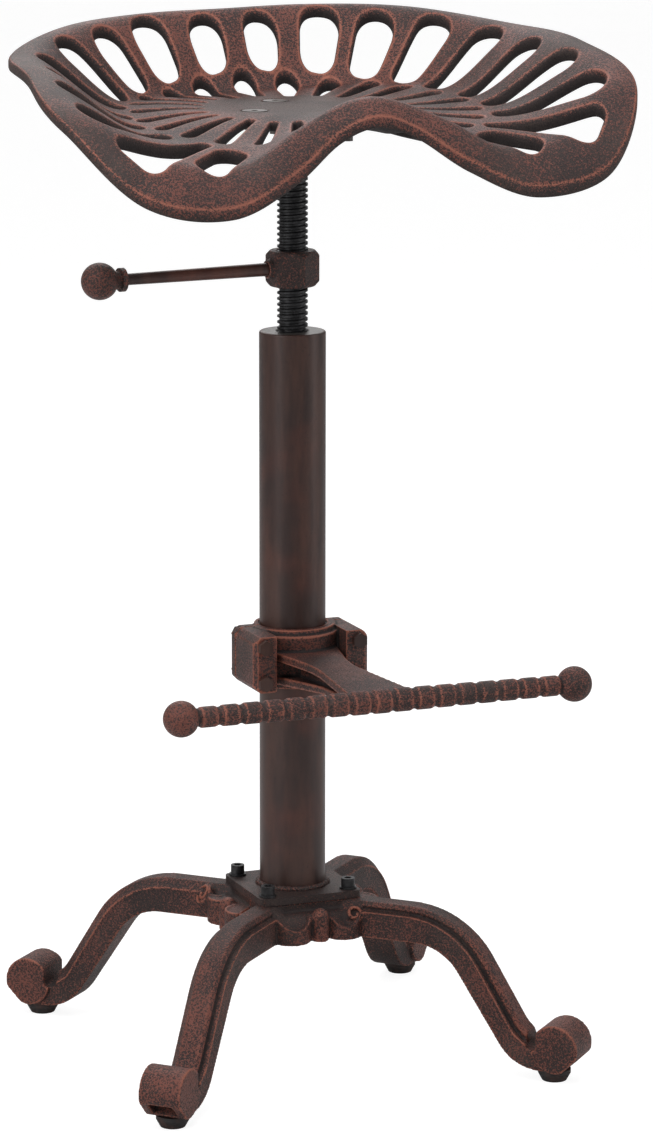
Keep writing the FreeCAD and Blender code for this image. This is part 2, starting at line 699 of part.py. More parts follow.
def seat():
    """The cast dish seat: a smooth top and underside, trimmed to its plan and pierced."""
    slab = below(seat_height, 0, 120)
    rim = []
    for k in range(72):
        x, y = spot(seat_station(5.0 * k)[0], 5.0 * k)
        rim.append(V(x, y, HUB_Z - 100))
    edge = Part.BSplineCurve()
    edge.interpolate(rim, PeriodicFlag=True)
    body = Part.Face(Part.Wire(edge.toShape())).extrude(V(0, 0, 200)).common(slab)
    body = body.cut(below(seat_under, 6, 160))
    cutters = []
    for corners, radii in seat_openings():
        hole = prism(corners, radii, HUB_Z - 90, HUB_Z + 90)
        cutters.append(hole)
        if abs(hole.CenterOfMass.x) > 1.0:
            cutters.append(mirrored(hole))
    body = body.cut(cutters)
    depth = (SINK_D - SEAT_SCREW_D) / 2 - 1
    for x, y in seat_screw_spots():
        body = body.cut(Part.makeCylinder(SEAT_SCREW_D / 2 + GAP, 60, V(x, y, HUB_Z - 30)))
        sink = Part.makeCone(SEAT_SCREW_D / 2 + GAP, SINK_D / 2 + GAP, depth + 1, V(x, y, HUB_Z - depth))
        body = body.cut(sink)
    spot_face = Part.makeCylinder(FLANGE_R + 1, 20, V(0, 0, flange_z() - 20))
    return body.cut(spot_face)


def seat_screw_spots():
    """Centres of the three seat screws."""
    spots = []
    for k in range(3):
        a = math.radians(90 + SEAT_SCREW_TURN + 120 * k)
        spots.append((SEAT_SCREW_CIRCLE * math.cos(a), SEAT_SCREW_CIRCLE * math.sin(a)))
    return spots


def seat_flange():
    """The steel disc on top of the screw that the seat is bolted to."""
    z1 = flange_z()
    disc = tube(FLANGE_R, SCREW_ROOT + 0.3 + FIT, z1 - FLANGE_T, z1)
    for x, y in seat_screw_spots():
        disc = disc.cut(Part.makeCylinder(SEAT_SCREW_D / 2 + GAP, FLANGE_T + 2, V(x, y, z1 - FLANGE_T - 1)))
    return disc


def seat_screw(x, y):
    """A countersunk screw with a socket."""
    head_h = (SINK_D - SEAT_SCREW_D) / 2 - 1
    z_cone = HUB_Z - head_h
    head_r = SEAT_SCREW_D / 2 + head_h
    head = Part.makeCone(SEAT_SCREW_D / 2, head_r, head_h, V(x, y, z_cone))
    shank = Part.makeCylinder(SEAT_SCREW_D / 2, 19, V(x, y, z_cone - 19))
    body = head.fuse(shank).removeSplitter()
    socket = hexagon(5.0, z_cone + head_h - 3, HUB_Z + 2)
    socket.translate(V(x, y, 0))
    return body.cut(socket)


def seat_nut(x, y):
    """The nut under the flange."""
    z1 = flange_z() - FLANGE_T
    nut = hexagon(13.0, z1 - 6.5, z1, 90 + 10)
    nut.translate(V(x, y, 0))
    return nut.cut(Part.makeCylinder(SEAT_SCREW_D / 2 + FIT, 10, V(x, y, z1 - 8)))


# Footrest

def clamp_bore():
    """The bore through both clamp halves."""
    return Part.makeCylinder(CLAMP_BORE_R, CLAMP_H + 30, V(0, 0, REST_Z - CLAMP_H / 2 - 15))


def clamp_liner():
    """A thin split sleeve between the clamp and the column."""
    r = TUBE_R + FIT
    ring = tube(r + LINER_T, r, REST_Z - CLAMP_H / 2, REST_Z + CLAMP_H / 2)
    return ring.cut(Part.makeBox(60, 2.0, CLAMP_H + 4, V(0, -1.0, REST_Z - CLAMP_H / 2 - 2)))


def bolt_holes():
    """Holes for the four clamp bolts."""
    holes = []
    for x in (-1, 1):
        for z in (-1, 1):
            start = V(x * BOLT_X, -CLAMP_FRONT - 20, REST_Z + z * BOLT_UP)
            holes.append(Part.makeCylinder(BOLT_D / 2 + GAP, 80, start, V(0, 1, 0)))
    return holes


def clamp_block(x0, x1, y0, y1, cut):
    """A block across the clamp with its outer corners cut off, drawn in front view."""
    half = CLAMP_H / 2
    z0 = REST_Z - half
    z1 = REST_Z + half
    points = [(x0, z0), (x1 - cut, z0), (x1, z0 + cut), (x1, z1 - cut), (x1 - cut, z1), (x0, z1)]
    radii = [0, 2.5, 2.5, 2.5, 2.5, 0]
    wire = rounded(points, radii, lambda u, v: V(u, y0, v))
    return Part.Face(wire).extrude(V(0, y1 - y0, 0))


def footrest():
    """Front clamp half, arm and beaded bar, cast in one."""
    ear = clamp_block(EAR_INNER, CLAMP_HALF, -CLAMP_FRONT, -CLAMP_PART, 5.0)
    bevel = Part.makePolygon([
        V(CLAMP_HALF + 1, -CLAMP_FRONT + 4, 0), V(CLAMP_HALF - 4, -CLAMP_FRONT - 1, 0),
        V(CLAMP_HALF + 6, -CLAMP_FRONT - 6, 0), V(CLAMP_HALF + 1, -CLAMP_FRONT + 4, 0),
    ])
    ear = ear.cut(Part.Face(bevel).extrude(V(0, 0, 600)))
    web_low = REST_Z - CLAMP_H / 2 + 2.5
    web = Part.makeBox(2 * EAR_INNER + 2, 22, CLAMP_H - 5, V(-EAR_INNER - 1, -CLAMP_PART - 22, web_low))
    sleeve = half_sleeve(SLEEVE_R, SLEEVE_R - 3, True)
    bar_back = BAR_Y + BAR_R - 3
    top_plan = [(-26, -20), (26, -20), (13.5, -80), (23, bar_back), (-23, bar_back), (-13.5, -80)]
    top = prism(top_plan, [0, 0, 120, 0, 0, 120], ARM_TOP - 6, ARM_TOP)
    low_plan = [(-22, -24), (22, -24), (11, -85), (16, bar_back), (-16, bar_back), (-11, -85)]
    low = prism(low_plan, [0, 0, 60, 0, 0, 60], REST_Z - CLAMP_H / 2, ARM_TOP - 2)
    z_clamp = REST_Z - CLAMP_H / 2 + 2
    z_bar = BAR_Z - 6
    flange_side = [(-20, z_clamp), (bar_back, z_bar), (bar_back, z_bar + 5), (-20, z_clamp + 6)]
    wedge = Part.makePolygon([V(-40, u, v) for u, v in flange_side + flange_side[:1]])
    flange = low.common(Part.Face(wedge).extrude(V(80, 0, 0)))
    core_side = [(-20, z_clamp + 2), (bar_back, z_bar + 2), (bar_back, ARM_TOP - 3), (-20, ARM_TOP - 3)]
    core = Part.makePolygon([V(-7, u, v) for u, v in core_side + core_side[:1]])
    core = Part.Face(core).extrude(V(14, 0, 0))
    parts = [ear, mirrored(ear), web, sleeve, top, flange, core, footrest_bar()]
    body = fused(parts).cut(clamp_bore())
    for hole in bolt_holes():
        body = body.cut(hole)
    return body


def footrest_bar():
    """The bar: a row of flat beads between two balls, a little thicker in the middle, turned about X."""
    reach = BAR_HALF - BAR_BALL_R + 1.5
    bead = 2 * reach / BAR_BEADS
    points = [(-reach, 0), (-reach, BAR_END_R - BAR_GROOVE)]
    for k in range(BAR_BEADS):
        x0 = -reach + k * bead
        middle = abs(x0 + bead / 2) / reach
        r = BAR_R + (BAR_END_R - BAR_R) * middle
        points.append((x0 + 1.2, r - BAR_GROOVE))
        points.append((x0 + 2.8, r))
        points.append((x0 + bead - 2.8, r))
        points.append((x0 + bead - 1.2, r - BAR_GROOVE))
    points += [(reach, BAR_END_R - BAR_GROOVE), (reach, 0)]
    outline = Part.makePolygon([V(x, 0, r) for x, r in points + points[:1]])
    bar = Part.Face(outline).revolve(V(0, 0, 0), V(1, 0, 0), 360)
    if bar.Volume < 0:
        bar.reverse()
    balls = [Part.makeSphere(BAR_BALL_R, V(s * BAR_HALF, 0, 0)) for s in (-1, 1)]
    body = fused([bar] + balls)
    body.translate(V(0, BAR_Y, BAR_Z))
    return body


def half_sleeve(radius, lip_radius, front):
    """Half of the clamp's round part, with a lip at both ends."""
    low = REST_Z - CLAMP_H / 2
    sleeve = Part.makeCylinder(radius, CLAMP_H - 6, V(0, 0, low + 3))
    lips = Part.makeCylinder(lip_radius, CLAMP_H + 2 * LIP, V(0, 0, low - LIP))
    near = -100 - CLAMP_PART if front else CLAMP_PART
    return sleeve.fuse(lips).common(Part.makeBox(200, 100, 600, V(-100, near, 0)))


def rear_clamp():
    """The rear clamp half: a flange with a half sleeve."""
    right = clamp_block(0, CLAMP_HALF, CLAMP_PART, CLAMP_REAR, 5.0)
    sleeve = half_sleeve(REAR_SLEEVE_R, REAR_SLEEVE_R - 2, False)
    body = fused([right, mirrored(right), sleeve]).cut(clamp_bore())
    for hole in bolt_holes():
        body = body.cut(hole)
    return body


def on_bolts(make):
    """A group of like pieces, one at each clamp bolt."""
    group = []
    for x in (-1, 1):
        for z in (-1, 1):
            piece = make()
            piece.rotate(V(0, 0, 0), V(1, 0, 0), 90)
            piece.translate(V(x * BOLT_X, 0, REST_Z + z * BOLT_UP))
            group.append(piece)
    return Part.makeCompound(group)


def clamp_bolt():
    """A hexagon bolt along Z with its head up; the clamp's front face is its seat."""
    head = hexagon(BOLT_AF, CLAMP_FRONT, CLAMP_FRONT + 4.2, 0)
    reach = CLAMP_FRONT + CLAMP_REAR + 9
    shank = Part.makeCylinder(BOLT_D / 2, reach, V(0, 0, CLAMP_FRONT - reach))
    return head.fuse(shank).removeSplitter()


def clamp_washer():
    """The washer behind the rear clamp half."""
    ring = Part.makeCylinder(6.0, 1.6, V(0, 0, -CLAMP_REAR - 1.6))
    return ring.cut(Part.makeCylinder(BOLT_D / 2 + GAP, 4, V(0, 0, -CLAMP_REAR - 3)))


def clamp_nut():
    """The nut behind that washer."""
    nut = hexagon(BOLT_AF, -CLAMP_REAR - 1.6 - 5.0, -CLAMP_REAR - 1.6, 30)
    return nut.cut(Part.makeCylinder(BOLT_D / 2 + FIT, 8, V(0, 0, -CLAMP_REAR - 8)))


def at_plate_screws(make):
    """A group of like pieces, one at each plate screw."""
    group = []
    for x in (-1, 1):
        for y in (-1, 1):
            piece = make()
            piece.translate(V(x * PLATE_SCREW_AT, y * PLATE_SCREW_AT, PLATE_Z))
            group.append(piece)
    return Part.makeCompound(group)


def plate_washer():
    """A plain washer."""
    return tube(PLATE_WASHER_D / 2, PLATE_SCREW_D / 2 + GAP, 0, PLATE_WASHER_T)


def plate_screw():
    """A socket head screw over its washer."""
    length = PLATE_T + PLATE_SCREW_DEPTH
    screw = socket_screw(PLATE_SCREW_D, PLATE_SCREW_HEAD, PLATE_SCREW_HEAD_H, length)
    screw.translate(V(0, 0, PLATE_WASHER_T))
    return screw


def write(name, shape):
    """Write a node and report its solids."""
    shape.exportStep("parts/%s.step" % name)
    print(name, len(shape.Solids), round(sum(s.Volume for s in shape.Solids) / 1000, 2), "cm3")


def main():
    os.makedirs("parts", exist_ok=True)
    front, rear = base_castings()
    write("base_casting_front", front)
    write("base_casting_rear", rear)
    names = {45: "rear_right", 135: "rear_left", 225: "front_left", 315: "front_right"}
    for angle, name in names.items():
        write("foot_pad_" + name, turned(foot_pad(), angle))
    write("foot_pad_screws", Part.makeCompound([turned(foot_screw(), angle) for angle in names]))
    write("column_plate", column_plate())
    write("plate_screws", at_plate_screws(plate_screw))
    write("plate_washers", at_plate_screws(plate_washer))
    write("column_tube", column_tube())
    write("column_weld", column_weld())
    write("column_plug", column_plug())
    write("guide_bush", guide_bush())
    write("threaded_rod", threaded_rod())
    write("rod_end_washer", rod_end_washer())
    write("rod_end_screw", rod_end_screw())
    write("seat", seat())
    write("seat_flange", seat_flange())
    write("seat_screws", Part.makeCompound([seat_screw(x, y) for x, y in seat_screw_spots()]))
    write("seat_nuts", Part.makeCompound([seat_nut(x, y) for x, y in seat_screw_spots()]))
    write("nut_washer", nut_washer())
    write("lock_nut", lock_nut())
    write("lever_rod", lever_rod())
    write("lever_collar", lever_collar())
    write("lever_ball", lever_ball())
    write("clamp_liner", clamp_liner())
    write("footrest", footrest())
    write("clamp_rear", rear_clamp())
    write("clamp_bolts", on_bolts(clamp_bolt))
    write("clamp_washers", on_bolts(clamp_washer))
    write("clamp_nuts", on_bolts(clamp_nut))


main()
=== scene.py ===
import math
import bmesh
import bpy
import numpy as np
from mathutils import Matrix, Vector, geometry


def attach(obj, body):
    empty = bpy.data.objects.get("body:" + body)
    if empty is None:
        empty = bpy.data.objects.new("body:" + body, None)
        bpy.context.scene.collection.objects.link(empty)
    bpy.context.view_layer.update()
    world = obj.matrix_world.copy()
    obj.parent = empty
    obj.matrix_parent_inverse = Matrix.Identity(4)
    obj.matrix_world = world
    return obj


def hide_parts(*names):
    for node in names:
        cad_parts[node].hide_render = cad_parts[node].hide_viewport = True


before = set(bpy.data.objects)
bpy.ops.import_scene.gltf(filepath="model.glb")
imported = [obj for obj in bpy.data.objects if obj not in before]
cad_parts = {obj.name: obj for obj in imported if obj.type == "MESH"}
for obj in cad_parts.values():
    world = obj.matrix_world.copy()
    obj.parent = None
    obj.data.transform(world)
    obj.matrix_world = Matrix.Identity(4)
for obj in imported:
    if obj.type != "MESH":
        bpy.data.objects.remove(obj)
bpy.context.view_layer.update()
scene = bpy.context.scene
scene.view_settings.view_transform = "Standard"


# The picture: a long lens a little higher than the seat, looking down on the stool from its front
# left. The stool stands on a white sweep, with a wide lamp over it, a tall one on each side and one
# behind.

CAMERA_AT = (-1.1946, -3.0927, 1.0461)
CAMERA_AIM = (0, 0, 0.3608)


def face_towards(thing, at, aim):
    """Put a camera or a lamp at a place and turn it to look at another."""
    thing.location = at
    thing.rotation_euler = (Vector(aim) - Vector(at)).to_track_quat("-Z", "Y").to_euler()


camera = bpy.data.objects.new("camera", bpy.data.cameras.new("camera"))
scene.collection.objects.link(camera)
scene.camera = camera
face_towards(camera, CAMERA_AT, CAMERA_AIM)
camera.data.lens = 146.98
camera.data.sensor_width = 36
camera.data.shift_x = 0.0299
camera.data.clip_end = 30


class Num:
    """A number that varies over a surface: an expression on it adds the Math nodes for it."""

    def __init__(self, tree, socket):
        self.tree = tree
        self.socket = socket

    def math(self, operation, *others):
        """One Math node on this number and others, which may be numbers or Num."""
        node = self.tree.nodes.new("ShaderNodeMath")
        node.operation = operation
        for place, value in zip(node.inputs, (self,) + others):
            if isinstance(value, Num):
                self.tree.links.new(value.socket, place)
            else:
                place.default_value = value
        return Num(self.tree, node.outputs[0])

    def __add__(self, other):
        return self.math("ADD", other)

    def __mul__(self, other):
        return self.math("MULTIPLY", other)

    def __sub__(self, other):
        return self.math("SUBTRACT", other)

    __radd__ = __add__

    def step(self, low, high):
        """A soft step: 0 below low, 1 above high."""
        node = self.tree.nodes.new("ShaderNodeMapRange")
        node.interpolation_type = "SMOOTHSTEP"
        self.tree.links.new(self.socket, node.inputs["Value"])
        node.inputs["From Min"].default_value = low
        node.inputs["From Max"].default_value = high
        return Num(self.tree, node.outputs["Result"])


class Finish:
    """A material in the making, to which the methods add nodes."""

    def __init__(self, name):
        self.material = bpy.data.materials.new(name)
        self.material.use_nodes = True
        self.tree = self.material.node_tree
        self.tree.nodes.clear()

    def node(self, kind, settings=None, sockets=None):
        """A node of a kind, with its settings, and a value or a link in each of the sockets named."""
        node = self.tree.nodes.new(kind)
        for key, value in (settings or {}).items():
            setattr(node, key, value)
        for key, value in (sockets or {}).items():
            place = node.inputs[key]
            if isinstance(value, Num):
                value = value.socket
            if isinstance(value, bpy.types.NodeSocket):
                self.tree.links.new(value, place)
            else:
                place.default_value = value
        return node

    def number(self, kind, settings=None, sockets=None, out=0):
        """The same, with one of its outputs as a number."""
        return Num(self.tree, self.node(kind, settings, sockets).outputs[out])

    def place(self):
        """Where a point is on the piece, in metres."""
        return self.node("ShaderNodeTexCoord").outputs["Object"]

    def noise(self, vector, per_metre, detail=2.0, rough=0.55):
        """Clouds from 0 to 1, with so many to the metre."""
        values = {"Vector": vector, "Scale": per_metre, "Detail": detail, "Roughness": rough}
        return self.number("ShaderNodeTexNoise", None, values)

    def mix(self, share, a, b):
        """Colour a, with a share of colour b over it."""
        a = (*a, 1) if isinstance(a, tuple) else a
        b = (*b, 1) if isinstance(b, tuple) else b
        return self.node("ShaderNodeMix", {"data_type": "RGBA"}, {0: share, 6: a, 7: b}).outputs[2]

    def bump(self, height, metres, strength=1.0):
        """Small relief of a height in metres."""
        values = {"Height": height, "Distance": metres, "Strength": strength}
        return self.node("ShaderNodeBump", None, values).outputs[0]

    def shaded(self, sockets):
        """Close the material with a Principled shader."""
        body = self.node("ShaderNodeBsdfPrincipled", None, sockets)
        self.node("ShaderNodeOutputMaterial", None, {"Surface": body.outputs[0]})
        return self.material


def sweep_material():
    """Pale to the light of the lamps, and white to the camera, but for the stool's faint shadow."""
    f = Finish("white_sweep")
    rays = f.node("ShaderNodeLightPath")
    pale = f.node("ShaderNodeBsdfDiffuse", None, {"Color": (0.8, 0.8, 0.8, 1)}).outputs[0]
    dim = f.node("ShaderNodeBsdfDiffuse", None, {"Color": (0.34, 0.34, 0.34, 1)}).outputs[0]
    glow = f.node("ShaderNodeEmission", None, {"Color": (1, 1, 1, 1), "Strength": 0.86}).outputs[0]
    seen = f.node("ShaderNodeAddShader", None, {0: dim, 1: glow}).outputs[0]
    chosen = f.node("ShaderNodeMixShader", None, {0: rays.outputs["Is Camera Ray"], 1: pale, 2: seen})
    f.node("ShaderNodeOutputMaterial", None, {"Surface": chosen.outputs[0]})
    return f.material


def sweep_mesh(name, half, rise, bend, rows, columns):
    """A floor that turns up into a wall all round: a flat disc of radius half, outside it a quarter
    circle of radius bend, and above that a straight wall up to the height rise."""
    angle = np.linspace(0, 2 * np.pi, columns, endpoint=False)
    turn = np.linspace(0, np.pi / 2, rows)
    radius = np.concatenate([[0.3, 1.2, half], half + bend * np.sin(turn[1:]), [half + bend]])
    height = np.concatenate([[0, 0, 0], bend * (1 - np.cos(turn[1:])), [rise]])
    x = radius[:, None] * np.cos(angle)
    y = radius[:, None] * np.sin(angle)
    z = np.repeat(height[:, None], columns, 1)
    points = np.stack([x, y, z], -1).reshape(-1, 3)
    row = np.arange(len(radius) - 1)[:, None] * columns
    here = np.arange(columns)
    after = (here + 1) % columns
    corners = [row + here, row + after, row + columns + after, row + columns + here]
    quads = np.stack(corners, -1).reshape(-1, 4)
    mesh = bpy.data.meshes.new(name)
    mesh.from_pydata(points.tolist(), [], quads[:, ::-1].tolist() + [here.tolist()])
    piece = bpy.data.objects.new(name, mesh)
    scene.collection.objects.link(piece)
    return piece


sweep = sweep_mesh("sweep", half=8.5, rise=6.0, bend=1.5, rows=8, columns=64)
sweep.data.materials.append(sweep_material())

world = bpy.data.worlds.new("studio")
scene.world = world
world.use_nodes = True
air = world.node_tree
air.nodes.clear()
rays = air.nodes.new("ShaderNodeLightPath")
sky = air.nodes.new("ShaderNodeBackground")
sky.inputs["Color"].default_value = (1, 1, 1, 1)
seen_straight = Num(air, rays.outputs["Is Camera Ray"])
for ray in ("Is Glossy Ray", "Is Transmission Ray"):
    seen_straight = seen_straight.math("MAXIMUM", Num(air, rays.outputs[ray]))
air.links.new((seen_straight * 0.6 + 0.4).socket, sky.inputs["Strength"])
end = air.nodes.new("ShaderNodeOutputWorld")
air.links.new(sky.outputs[0], end.inputs["Surface"])

# Place, aim, width and height in metres, and watts of each lamp
for name, at, aim, wide, high, watts in (
    ("lamp_over", (-0.5, -0.5, 2.6), (0, 0, 0.4), 1.6, 1.6, 34),
    ("lamp_left", (-2.3, -0.9, 1.3), (0, 0, 0.5), 0.9, 2.0, 26),
    ("lamp_right", (2.2, -1.3, 1.1), (0, 0, 0.4), 0.8, 2.0, 18),
    ("lamp_behind", (0.6, 2.4, 1.9), (0, 0, 0.5), 1.6, 1.2, 16),
):
    lamp = bpy.data.lights.new(name, "AREA")
    lamp.shape = "RECTANGLE"
    lamp.size = wide
    lamp.size_y = high
    lamp.energy = watts
    thing = bpy.data.objects.new(name, lamp)
    face_towards(thing, at, aim)
    thing.visible_camera = False
    scene.collection.objects.link(thing)


# The seat: one iron casting, a dish with a rolled rim, a low horn in front and a lobe under each
# thigh, pierced by long slots, a fan of short ones, a corner opening and a lobe hole on each side. It
# is lacquered, rubbed back to copper red on its edges, and held to its flange by three screws.

SEAT_HUB = 698.4  # height of the hub's upper face; all shapes below are in millimetres
SEAT_THICK = 7.0
SEAT_WALL_ADD = 3.5  # how much thicker the bowl is than the hub
SEAT_TILT = math.tan(math.radians(1.4))
SEAT_ROUND = 2.3  # radius of the rounded upper edges
# Angle, radius of the rim, and heights over the hub of the ring, the crest and the edge
SEAT_STATIONS = np.array([
    (90, 146.5, 2, 59, 58), (65, 157.5, 2, 59, 58), (40, 176, 4, 56, 55), (15, 201, 4, 46, 44),
    (-10, 214, 0, 39, 38), (-30, 246, -5, 20, 14), (-45, 242, -9, -13, -35), (-58, 212, -10, -20, -46),
    (-70, 185, -3, 3, -26), (-80, 167, 2, 17, -2), (-90, 164.5, 4, 23, 8),
], float)
# Angle, radius and width of the inner end and of the outer end
LONG_SLOTS = [
    (80, 106.5, 21, 80, 134, 28.5), (60, 112, 23, 60.5, 147, 33), (43.5, 115.5, 21, 43.5, 154.5, 32),
    (28.5, 120, 19.5, 28, 170.5, 29.5), (13.5, 120, 17, 12.5, 182, 30), (-4.5, 126.5, 16, -3.8, 187, 31),
    (-18.5, 136, 14.5, -17.3, 204, 27.5), (-32, 144.5, 16, -29.7, 224, 35),
]
# Angle, radius of the inner end and of the outer end, width of the outer end
FAN_SLOTS = [
    (90, 65, 105, 19.5), (71, 64, 107.5, 19), (53.5, 66, 109, 18), (37, 65, 114, 16.5), (22, 65, 116, 15),
    (4.5, 67, 119, 13.5), (-11.5, 72, 128, 12.5), (-25, 77, 135, 11.5), (-37, 81, 140, 11),
    (-48.5, 81, 142, 10.5), (-60, 81, 138, 10.5), (-71, 85, 128, 10.5),
]
FAN_TIP = 5.0  # width of the inner end
CORNER_OPENING = [(186, -136), (160, -164), (103, -112.5), (104.5, -101)]
CORNER_RADII = [9, 12, 4, 4]
LOBE_HOLE = [(90, -127), (123.5, -159)]
LOBE_HOLE_WIDTH = 23.0
SCREW_HEAD = 9.3  # radius of the countersink, and of the hole under it
SCREW_SHANK = 4.6
SCREW_SWELL = 15  # radius within which the underside is drawn in to the hole
SCREW_TURNS = [math.radians(a) for a in (87, 207, 327)]
SEAT_SCREWS = [(40 * math.cos(a), 40 * math.sin(a)) for a in SCREW_TURNS]
FLANGE_SEAT = 53  # radius of the flat face over the flange
FLANGE_GAP = 0.35
RIM_POINTS = 420


def smooth(x, a, b):
    """A soft step from 0 at a to 1 at b."""
    t = np.clip((x - a) / (b - a), 0, 1)
    return t * t * (3 - 2 * t)


def along_stations(degrees):
    """Rim radius and heights at each angle: cubic curves through the stations, level at both ends."""
    table = SEAT_STATIONS
    at = 90 - table[:, 0]
    slope = np.zeros((len(at), 4))
    slope[1:-1] = (table[2:, 1:] - table[:-2, 1:]) / (at[2:] - at[:-2])[:, None]
    t = np.abs((90 - degrees + 180) % 360 - 180)
    k = np.clip(np.searchsorted(at, t, side="right") - 1, 0, len(at) - 2)
    h = (at[k + 1] - at[k])[:, None]
    u = (t - at[k])[:, None] / h
    return (
        (2 * u**3 - 3 * u**2 + 1) * table[k, 1:] + (u**3 - 2 * u**2 + u) * h * slope[k]
        + (3 * u**2 - 2 * u**3) * table[k + 1, 1:] + (u**3 - u**2) * h * slope[k + 1]
    )


def rim_at(plan):
    """Radius of the rim in the direction of each plan point."""
    return along_stations(np.degrees(np.arctan2(plan[:, 1], plan[:, 0])))[:, 0]


def dish(plan):
    """Height of the seat's upper face: from the hub a soft step to the ring, a steeper one to the
    crest and a square law down the rolled edge, with a slope to the left outside the hub."""
    rim, ring, crest, edge = along_stations(np.degrees(np.arctan2(plan[:, 1], plan[:, 0]))).T
    s = np.hypot(plan[:, 0], plan[:, 1]) / rim
    roll = np.clip((s - 0.86) / 0.14, 0, 1.2) ** 2
    rise = ring * smooth(s, 0.25, 0.65) + (crest - ring) * smooth(s, 0.6, 0.95) + (edge - crest) * roll
    return SEAT_HUB + rise + SEAT_TILT * plan[:, 0] * smooth(s, 0.38, 0.6)


def polar(radius, degrees):
    """A plan point at a radius and an angle."""
    return np.array((radius * math.cos(math.radians(degrees)), radius * math.sin(math.radians(degrees))))


def slot_corners(inner, width_in, outer, width_out):
    """Four corners of a tapered slot round its middle line, and the radius of each: nearly half its end."""
    way = (outer - inner) / np.linalg.norm(outer - inner)
    off = np.array((-way[1], way[0]))
    ends = [(inner, -1, width_in), (outer, -1, width_out), (outer, 1, width_out), (inner, 1, width_in)]
    corners = [end + side * off * width / 2 for end, side, width in ends]
    return np.array(corners), [0.46 * width for _, _, width in ends]


def rounded_line(corners, radii, step, grow=0.0):
    """Closed line round a convex plan with an arc in each corner, moved out by grow."""
    n = len(corners)
    before = np.roll(corners, 1, 0) - corners
    after = np.roll(corners, -1, 0) - corners
    room_a = np.linalg.norm(before, axis=1)
    room_b = np.linalg.norm(after, axis=1)
    ua = before / room_a[:, None]
    ub = after / room_b[:, None]
    half = np.arccos(np.clip((ua * ub).sum(1), -1, 1)) / 2
    back = np.minimum(np.array(radii) / np.tan(half), 0.49 * np.minimum(room_a, room_b))
    middle = (ua + ub) / np.linalg.norm(ua + ub, axis=1)[:, None]
    centre = corners + middle * (back / np.cos(half))[:, None]
    start = corners + ua * back[:, None] - centre
    end = corners + ub * back[:, None] - centre
    radius = back * np.tan(half)
    a0 = np.arctan2(start[:, 1], start[:, 0])
    sweep = (np.arctan2(end[:, 1], end[:, 0]) - a0 + np.pi) % (2 * np.pi) - np.pi
    runs = []
    for i in range(n):
        count = max(3, int(np.ceil(abs(sweep[i]) * (radius[i] + grow) / (0.7 * step))) + 1)
        a = a0[i] + sweep[i] * np.linspace(0, 1, count)
        runs.append(centre[i] + (radius[i] + grow) * np.stack([np.cos(a), np.sin(a)], 1))
    line = []
    for i in range(n):
        p, q = runs[i][-1], runs[(i + 1) % n][0]
        count = max(2, int(np.ceil(np.linalg.norm(q - p) / step)) + 1)
        line += [runs[i], p + (q - p) * np.linspace(0, 1, count)[1:-1, None]]
    return np.concatenate(line)


def rim_line(count, inset):
    """The seat's outer edge in so many points, moved in along its own normal."""
    a = np.linspace(0, 2 * np.pi, count, endpoint=False)
    r = along_stations(np.degrees(a))[:, 0]
    line = np.stack([r * np.cos(a), r * np.sin(a)], 1)
    way = np.roll(line, -1, 0) - np.roll(line, 1, 0)
    way /= np.linalg.norm(way, axis=1)[:, None]
    return line + inset * np.stack([-way[:, 1], way[:, 0]], 1)


def gap_to(plan, lines):
    """Distance of each plan point to the nearest piece of several closed lines."""
    a = np.concatenate(lines)
    b = np.concatenate([np.roll(line, -1, 0) for line in lines]) - a
    size = (b * b).sum(1)
    nearest = np.empty(len(plan))
    for first in range(0, len(plan), 400):
        p = plan[first:first + 400, None, :] - a
        t = np.clip((p * b).sum(2) / size, 0, 1)
        nearest[first:first + 400] = np.sqrt(((p - t[:, :, None] * b) ** 2).sum(2).min(1))
    return nearest


